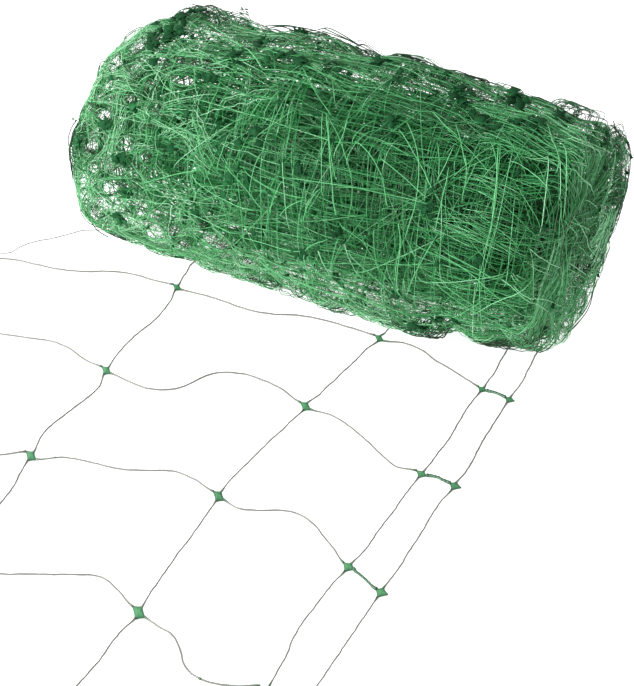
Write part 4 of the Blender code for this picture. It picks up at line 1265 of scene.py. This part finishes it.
# The loose end, spread flat on the floor
looseNet = {
    "seed": 5,
    "height": 0.8 * mm,  # of the strands' middles above the floor
    "radius": 0.77 * mm,
    "linkRadius": 1.25 * mm,
    "linkArch": 1.5 * mm,
    "steps": 43,
    "sides": 6,
    "ripple": 0.15 * mm,
    "waves": (5.3, 9.1, 14.7),  # of the ripple, along a strand as long as this
    "wavedLength": 0.17,
    "swell": (0.5 * mm, 4 * mm),  # how much thicker at a knot, and over what length
    "lighter": (0.4, 6 * mm),  # how much at a knot, and over what length
    "flattened": 0.72,  # a strand's middle is at least this share of its radius up
    "clearance": 0.02 * mm,  # and none of it is lower than this
    "nearCorner": 0.8,  # strands start at this share of the way to a knot's corner
    # Knots in mm, a row across the net for each letter; columns 3 and 4 are the selvedge
    "knots": {
        "A": ((-318, -127), (-121.5, -87.5), (94, -72), (214, -101), (242.5, -104)),
        "B": ((-290, -248), (-102, -240), (86, -201), (220.5, -239.5), (253, -241)),
        "C": ((-272, -405), (-86.5, -379), (84.5, -348.5), (222.5, -376), (260, -391)),
        "D": ((-258, -552), (-64, -526), (105, -502), (234, -529), (268, -538)),
        "E": ((-262, -700), (-62, -676), (110, -655), (242, -681), (277, -689)),
    },
    # Corners of a knot, in mm from its middle, where strands leave it to the right, away from
    # the viewer, to the left and toward the viewer: for columns 0 to 2, column 3 and column 4
    "corners": (
        ((8.2, -2.9), (-1.5, 7.1), (-8.7, 3.8), (1.8, -8.3)),
        ((6.4, -0.5), (0.2, 5.8), (-6.8, 2.8), (0, -7.7)),
        ((6.5, 0.7), (-1.7, 6.8), (-6.6, 2), (-0.6, -7.8)),
    ),
    # Slack of the strands that aren't straight: how far each lies to the left of the line between
    # its ends, in mm, at each eighth of the way
    "slack": {
        "A0 A1": (2, -1, -3, -1, 6, 8, 3), "A1 A2": (0, -3, -7, -4, 4, 5, 3),
        "A2 A3": (9, 12, 11, 7, 6, 4, 2), "B0 B1": (2, 6, 9, 13, 17, 14, 4),
        "B1 B2": (-9, -14, -6, 23, 30, 26, 16), "B2 B3": (6, 7, 5, 2, -2, -6, -8),
        "B3 B4": (1, 1, 1, 1, 0, 0, 0), "C0 C1": (2, 4, 4, -2, -7, -9, -12),
        "C1 C2": (9, 10, 8, 8, 13, 17, 11), "C2 C3": (-1, 8, 21, 25, 22, 15, 8),
        "C3 C4": (-1, -1, -1, -1, -1, -1, -1), "D0 D1": (-2, 1, 6, 10, 5, 1, -2),
        "D1 D2": (2, 3, 9, 15, 21, 25, 15), "D2 D3": (-1, -1, -8, -19, -23, -20, -12),
        "E0 E1": (3, 6, 7, 3, -2, -3, -2), "E1 E2": (-3, -5, -4, 3, 8, 8, 5),
        "E2 E3": (2, 5, 6, 5, 0, -2, -2), "A1 B1": (4, 5, 5, 2, -1, -2, -2),
        "A2 B2": (-2, -1, 0, 0, 1, 1, 2), "A3 B3": (-1, -1, 0, 1, 2, 1, 1), "A4 B4": (0, 0, 0, 0, 1, 2, 2),
        "B1 C1": (5, 5, 2, -1, -4, -6, -4), "B2 C2": (-1, -1, -2, -2, -2, -2, -2),
        "B3 C3": (0, 0, 1, 1, 1, 2, 2), "B4 C4": (-2, -2, -1, 0, 0, 1, 1), "C1 D1": (2, 5, 6, 5, 3, 2, 1),
        "C2 D2": (0, 0, 0, -1, -1, -1, -1), "C3 D3": (-3, -4, -5, -6, -5, -2, -1),
        "D2 E2": (-2, -1, 1, 1, 1, 0, 0),
    },
    # Where each column comes out from under the roll: along and across in mm, its slack and its
    # thickness as a share
    "roots": (
        ((-236, -24), (-5, 4, 7, 7, 9, 11, 6), 0.6),
        ((-131, -24), (1, 2, 2, 3, 4, 3, 2), 1.0),
        ((98, -24), (-1, 0, 0, 0, 0, 0, 0), 1.0),
        ((206, -12), (0, -1, -1, 0, 0, 0, 0), 1.0),
        ((233, -10), (-1, -2, -2, -1, -1, 0, 0), 1.0),
    ),
    "rowSizes": {"A": 0.84, "B": 0.95, "C": 1.0, "D": 1.05, "E": 1.05},  # of the knots
    "stub": 8,  # mm of cut strand past the outermost knots
    "nubs": (("C1 C2", 0.10, 1.2), ("D2 D3", 0.66, 1.5)),  # beads: strand, share along, mm
}
looseKnots = {
    "seed": 8,
    "rings": 5,
    "around": 32,
    "pinch": 0.12,  # share by which a side curves in
    "height": 2.0 * mm,
    "fall": (0.55, 2.2),  # the share of the height lost at the edge, and by what power
    "waviness": 0.1 * mm,
    "seat": 0.04 * mm,  # height of the underside
    "lift": 0.35 * mm,  # and how much higher it is at the edge
    "tone": (0.75, 0.65),  # at the middle, and how much less at the edge: a painted highlight in the middle and painted shade at the edge
}


def loosePaths(net):
    # Every strand of the loose end from corner to corner of its knots, bowed to its left by its
    # slack. A strand may be a link of the selvedge, and its far end may be tied.
    rows = list(net["knots"])
    places = {
        row + str(column): np.array(point, float)
        for row, points in net["knots"].items()
        for column, point in enumerate(points)
    }

    def corner(name, side):
        reach = net["nearCorner"] * net["rowSizes"][name[0]]
        return places[name] + reach * np.array(net["corners"][max(int(name[1]) - 2, 0)][side])

    spans = []

    def addSpan(start, end, name="", link=False, tied=False, thickness=1.0, bow=(0,) * 7):
        spans.append((start, end, net["slack"].get(name, bow), link, tied, thickness, name))

    def addStub(name, side, way):
        start = corner(name, side)
        addSpan(start, start + net["stub"] * np.array(way))

    for row in rows:
        for c in range(4):
            first, last = f"{row}{c}", f"{row}{c + 1}"
            addSpan(corner(first, 0), corner(last, 2), f"{first} {last}", c == 3, True)
        addStub(f"{row}0", 2, (-1, 0.2))
    for up, low in zip(rows, rows[1:]):
        for c in range(5):
            first, last = f"{up}{c}", f"{low}{c}"
            addSpan(corner(first, 3), corner(last, 1), f"{first} {last}", tied=True)
    for c, (end, bow, thickness) in enumerate(net["roots"]):
        addSpan(corner(f"A{c}", 1), np.array(end, float), thickness=thickness, bow=bow)
        addStub(f"E{c}", 3, (0.05, -1))
    starts, ends, bows, links, tied, thickness, names = zip(*spans)
    bows = np.array([(0, *bow, 0) for bow in bows], float) * mm
    flags = np.array(links), np.array(tied), np.array(thickness)
    return places, np.array(starts) * mm, np.array(ends) * mm, bows, flags, names


def makeLooseStrands(net, look):
    # Strands bowed by their slack and finely rippled, stouter and lighter next to their knots
    rng = np.random.default_rng(net["seed"])
    places, starts, ends, bows, (links, tied, thickness), names = loosePaths(net)
    t = np.linspace(0, 1, net["steps"])
    chord = ends - starts
    length = np.linalg.norm(chord, axis=1)[:, None]
    left = np.stack([-chord[:, 1], chord[:, 0]], -1) / length
    bow = smoothThrough(bows, t * (bows.shape[1] - 1))
    fade = np.minimum(1, 6 * np.minimum(t, 1 - t))
    phases = fullTurn * rng.random((len(starts), 3, 1))
    for wave, phase in zip(net["waves"], np.moveaxis(phases, 1, 0)):
        ripple = net["ripple"] * fade * np.sin(fullTurn * wave * t + phase)
        bow = bow + ripple * length / net["wavedLength"]
    flat = starts[:, None] + chord[:, None] * t[:, None] + left[:, None] * bow[..., None]
    rise = np.where(links[:, None], net["linkArch"] * 4 * t * (1 - t), 0) + net["height"]
    lines = np.concatenate([flat, rise[..., None]], -1)
    near = np.where(tied[:, None], np.minimum(t, 1 - t), t) * length
    radii = np.where(links, net["linkRadius"], net["radius"] * thickness)[:, None]
    radii = radii * rng.uniform(0.92, 1.08, (len(lines), 1))
    radii = radii * (1 + 0.06 * np.sin(fullTurn * (7 * t + rng.random((len(lines), 1)))))
    more, over = net["swell"]
    radii = radii + more * np.exp(-((near / over) ** 2))
    own = np.where(links, 1.0, rng.uniform(0.15, 0.55, len(lines)))[:, None]
    more, over = net["lighter"]
    tones = own + more * np.exp(-((near / over) ** 2))
    lines[..., 2] = np.maximum(lines[..., 2], net["flattened"] * radii)
    outward = np.zeros_like(lines) + (0, 0, 1.0)
    group = tubes(lines, radii, outward, np.clip(tones, 0, 1), net["sides"])
    group["points"][:, 2] = np.maximum(group["points"][:, 2], net["clearance"])
    strands = joinStrands("looseStrands", [group], look, net["sides"])
    return strands, places, dict(zip(names, lines))


def plateOutlines(points, turns, pinch):
    # Radius of four-cornered plates at each turn. Between two corners p and q it is where a ray
    # from the middle meets the line from p to q, pulled in most halfway by the pinch.
    angles = np.arctan2(points[..., 1], points[..., 0])
    ray = np.stack([np.cos(turns), np.sin(turns)], -1)
    outline = np.zeros((len(points), len(turns)))
    for index in range(4):
        first, last = points[:, index], points[:, (index + 1) % 4]
        reach = (angles[:, (index + 1) % 4] - angles[:, index]) % fullTurn
        inside = (turns - angles[:, index, None]) % fullTurn <= reach[:, None]
        side = last - first
        under = ray[:, 0] * side[:, 1, None] - ray[:, 1] * side[:, 0, None]
        under = np.where(np.abs(under) < 1e-9, 1e-9, under)
        radius = (first[:, 0] * side[:, 1] - first[:, 1] * side[:, 0])[:, None] / under
        share = (ray[:, 1] * first[:, 0, None] - ray[:, 0] * first[:, 1, None]) / under
        pulled = radius * (1 - pinch * np.sin(math.pi * np.clip(share, 0, 1)))
        outline = np.where(inside, pulled, outline)
    return outline


def plateFaces(rings, around):
    # Faces of one plate: two sheets of rings, the wall between their edges and a fan round
    # each middle. The middles are its last two points.
    sheet = rings * around
    side = np.arange(around)
    after = (side + 1) % around
    inner = np.arange(rings - 1)[:, None] * around
    here, beside = (inner + side).ravel(), (inner + after).ravel()
    upper = np.stack([here, here + around, beside + around, beside], -1)
    lower = upper[:, ::-1] + sheet
    edge, nextEdge = side + sheet - around, after + sheet - around
    wall = np.stack([edge, edge + sheet, nextEdge + sheet, nextEdge], -1)
    topFan = np.stack([side, after, np.full(around, 2 * sheet)], -1)
    lowFan = np.stack([after + sheet, side + sheet, np.full(around, 2 * sheet + 1)], -1)
    return np.concatenate([upper, lower, wall]), np.concatenate([topFan, lowFan])


def makeLooseKnots(settings, net, places, look):
    # Plates with four corners, whose height falls from the middle with a power of the share out,
    # and whose underside rises a little at the edge
    rng = np.random.default_rng(settings["seed"])
    names = list(places)
    count, around, rings = len(names), settings["around"], settings["rings"]
    height, seat = settings["height"], settings["seat"]
    turns = fullTurn * np.arange(around) / around
    centres = np.array([places[name] for name in names]) * mm
    kinds = np.array([max(int(name[1]) - 2, 0) for name in names])
    sizes = np.array([net["rowSizes"][name[0]] for name in names])[:, None, None]
    points = np.array(net["corners"], float)[kinds] * mm
    points = points * rng.uniform(0.93, 1.07, (count, 4, 1)) * sizes
    outline = plateOutlines(points, turns, settings["pinch"])
    shares = np.linspace(0, 1, rings + 1)[1:]
    spread = shares[None, :, None] * outline[:, None]
    x = centres[:, None, None, 0] + spread * np.cos(turns)
    y = centres[:, None, None, 1] + spread * np.sin(turns)
    fall, power = settings["fall"]
    top = height * (1 - fall * shares[:, None] ** power) + settings["waviness"] * np.sin(3 * turns)
    low = seat + settings["lift"] * shares[:, None] ** 4 + 0 * turns
    sheets = [np.stack([x, y, z + 0 * x], -1).reshape(count, -1, 3) for z in (top, low)]
    middles = [np.column_stack([centres, np.full(count, z)])[:, None] for z in (height, seat)]
    points = np.concatenate(sheets + middles, 1)
    quads, fans = plateFaces(rings, around)
    offsets = (np.arange(count) * points.shape[1])[:, None, None]
    faces = [(quads[None] + offsets).reshape(-1, 4), (fans[None] + offsets).reshape(-1, 3)]
    lit, less = settings["tone"]
    # painted highlight in the middle of each knot, falling to painted shade at its edge
    shade = np.concatenate([np.tile(np.repeat(lit - less * shares ** 3, around), 2), [lit, lit]])
    tones = np.clip(shade + rng.uniform(-0.1, 0.1, (count, 1)), 0, 1)
    return makeMesh("looseKnots", points.reshape(-1, 3), faces, look, tones)


def makeNubs(net, lines, look):
    # Small flattened beads of plastic on two strands: a short stout tube with round ends
    t = np.linspace(-1, 1, 9)
    paths, sizes = [], []
    for name, share, size in net["nubs"]:
        line = lines[name]
        at = int(share * len(line))
        way = unit(line[at + 1] - line[at])
        paths.append(line[at] + (0, 0, 0.2 * mm) + 1.3 * size * mm * t[:, None] * way)
        sizes.append(size * mm)
    radii = np.array(sizes)[:, None] * np.sqrt(np.clip(1.02 - t ** 2, 0.02, 1)) * 0.75
    paths = np.array(paths)
    group = tubes(paths, radii, np.zeros_like(paths) + (0, 0, 1.0), np.full(radii.shape, 0.2), 8)
    group["points"][:, 2] = np.maximum(group["points"][:, 2], net["clearance"])
    return joinStrands("looseNubs", [group], look, 8)


looseStrandMaterial = plasticMaterial("loose strand plastic", looseStrandLook)
looseKnotMaterial = plasticMaterial("loose knot plastic", looseKnotLook)
looseStrands, knotPlaces, looseLines = makeLooseStrands(looseNet, looseStrandMaterial)
loosePieces = [looseStrands]
loosePieces.append(makeLooseKnots(looseKnots, looseNet, knotPlaces, looseKnotMaterial))
loosePieces.append(makeNubs(looseNet, looseLines, looseKnotMaterial))
for piece in loosePieces:
    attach(piece, "root")
    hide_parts("net_tail")
print("loose end laid out")


def makeFloor():
    # A wide flat square just below everything else
    half = floorSettings["halfSize"]
    corners = np.array([(-half, -half), (half, -half), (half, half), (-half, half)])
    points = np.column_stack([corners, np.full(4, -floorSettings["depth"])])
    floor = makeMesh("studioFloor", points, [np.array([[0, 1, 2, 3]])], floorMaterial())


makeFloor()
faceCounts = {piece.name: len(piece.data.polygons) for piece in woundPieces}
print("faces", faceCounts)
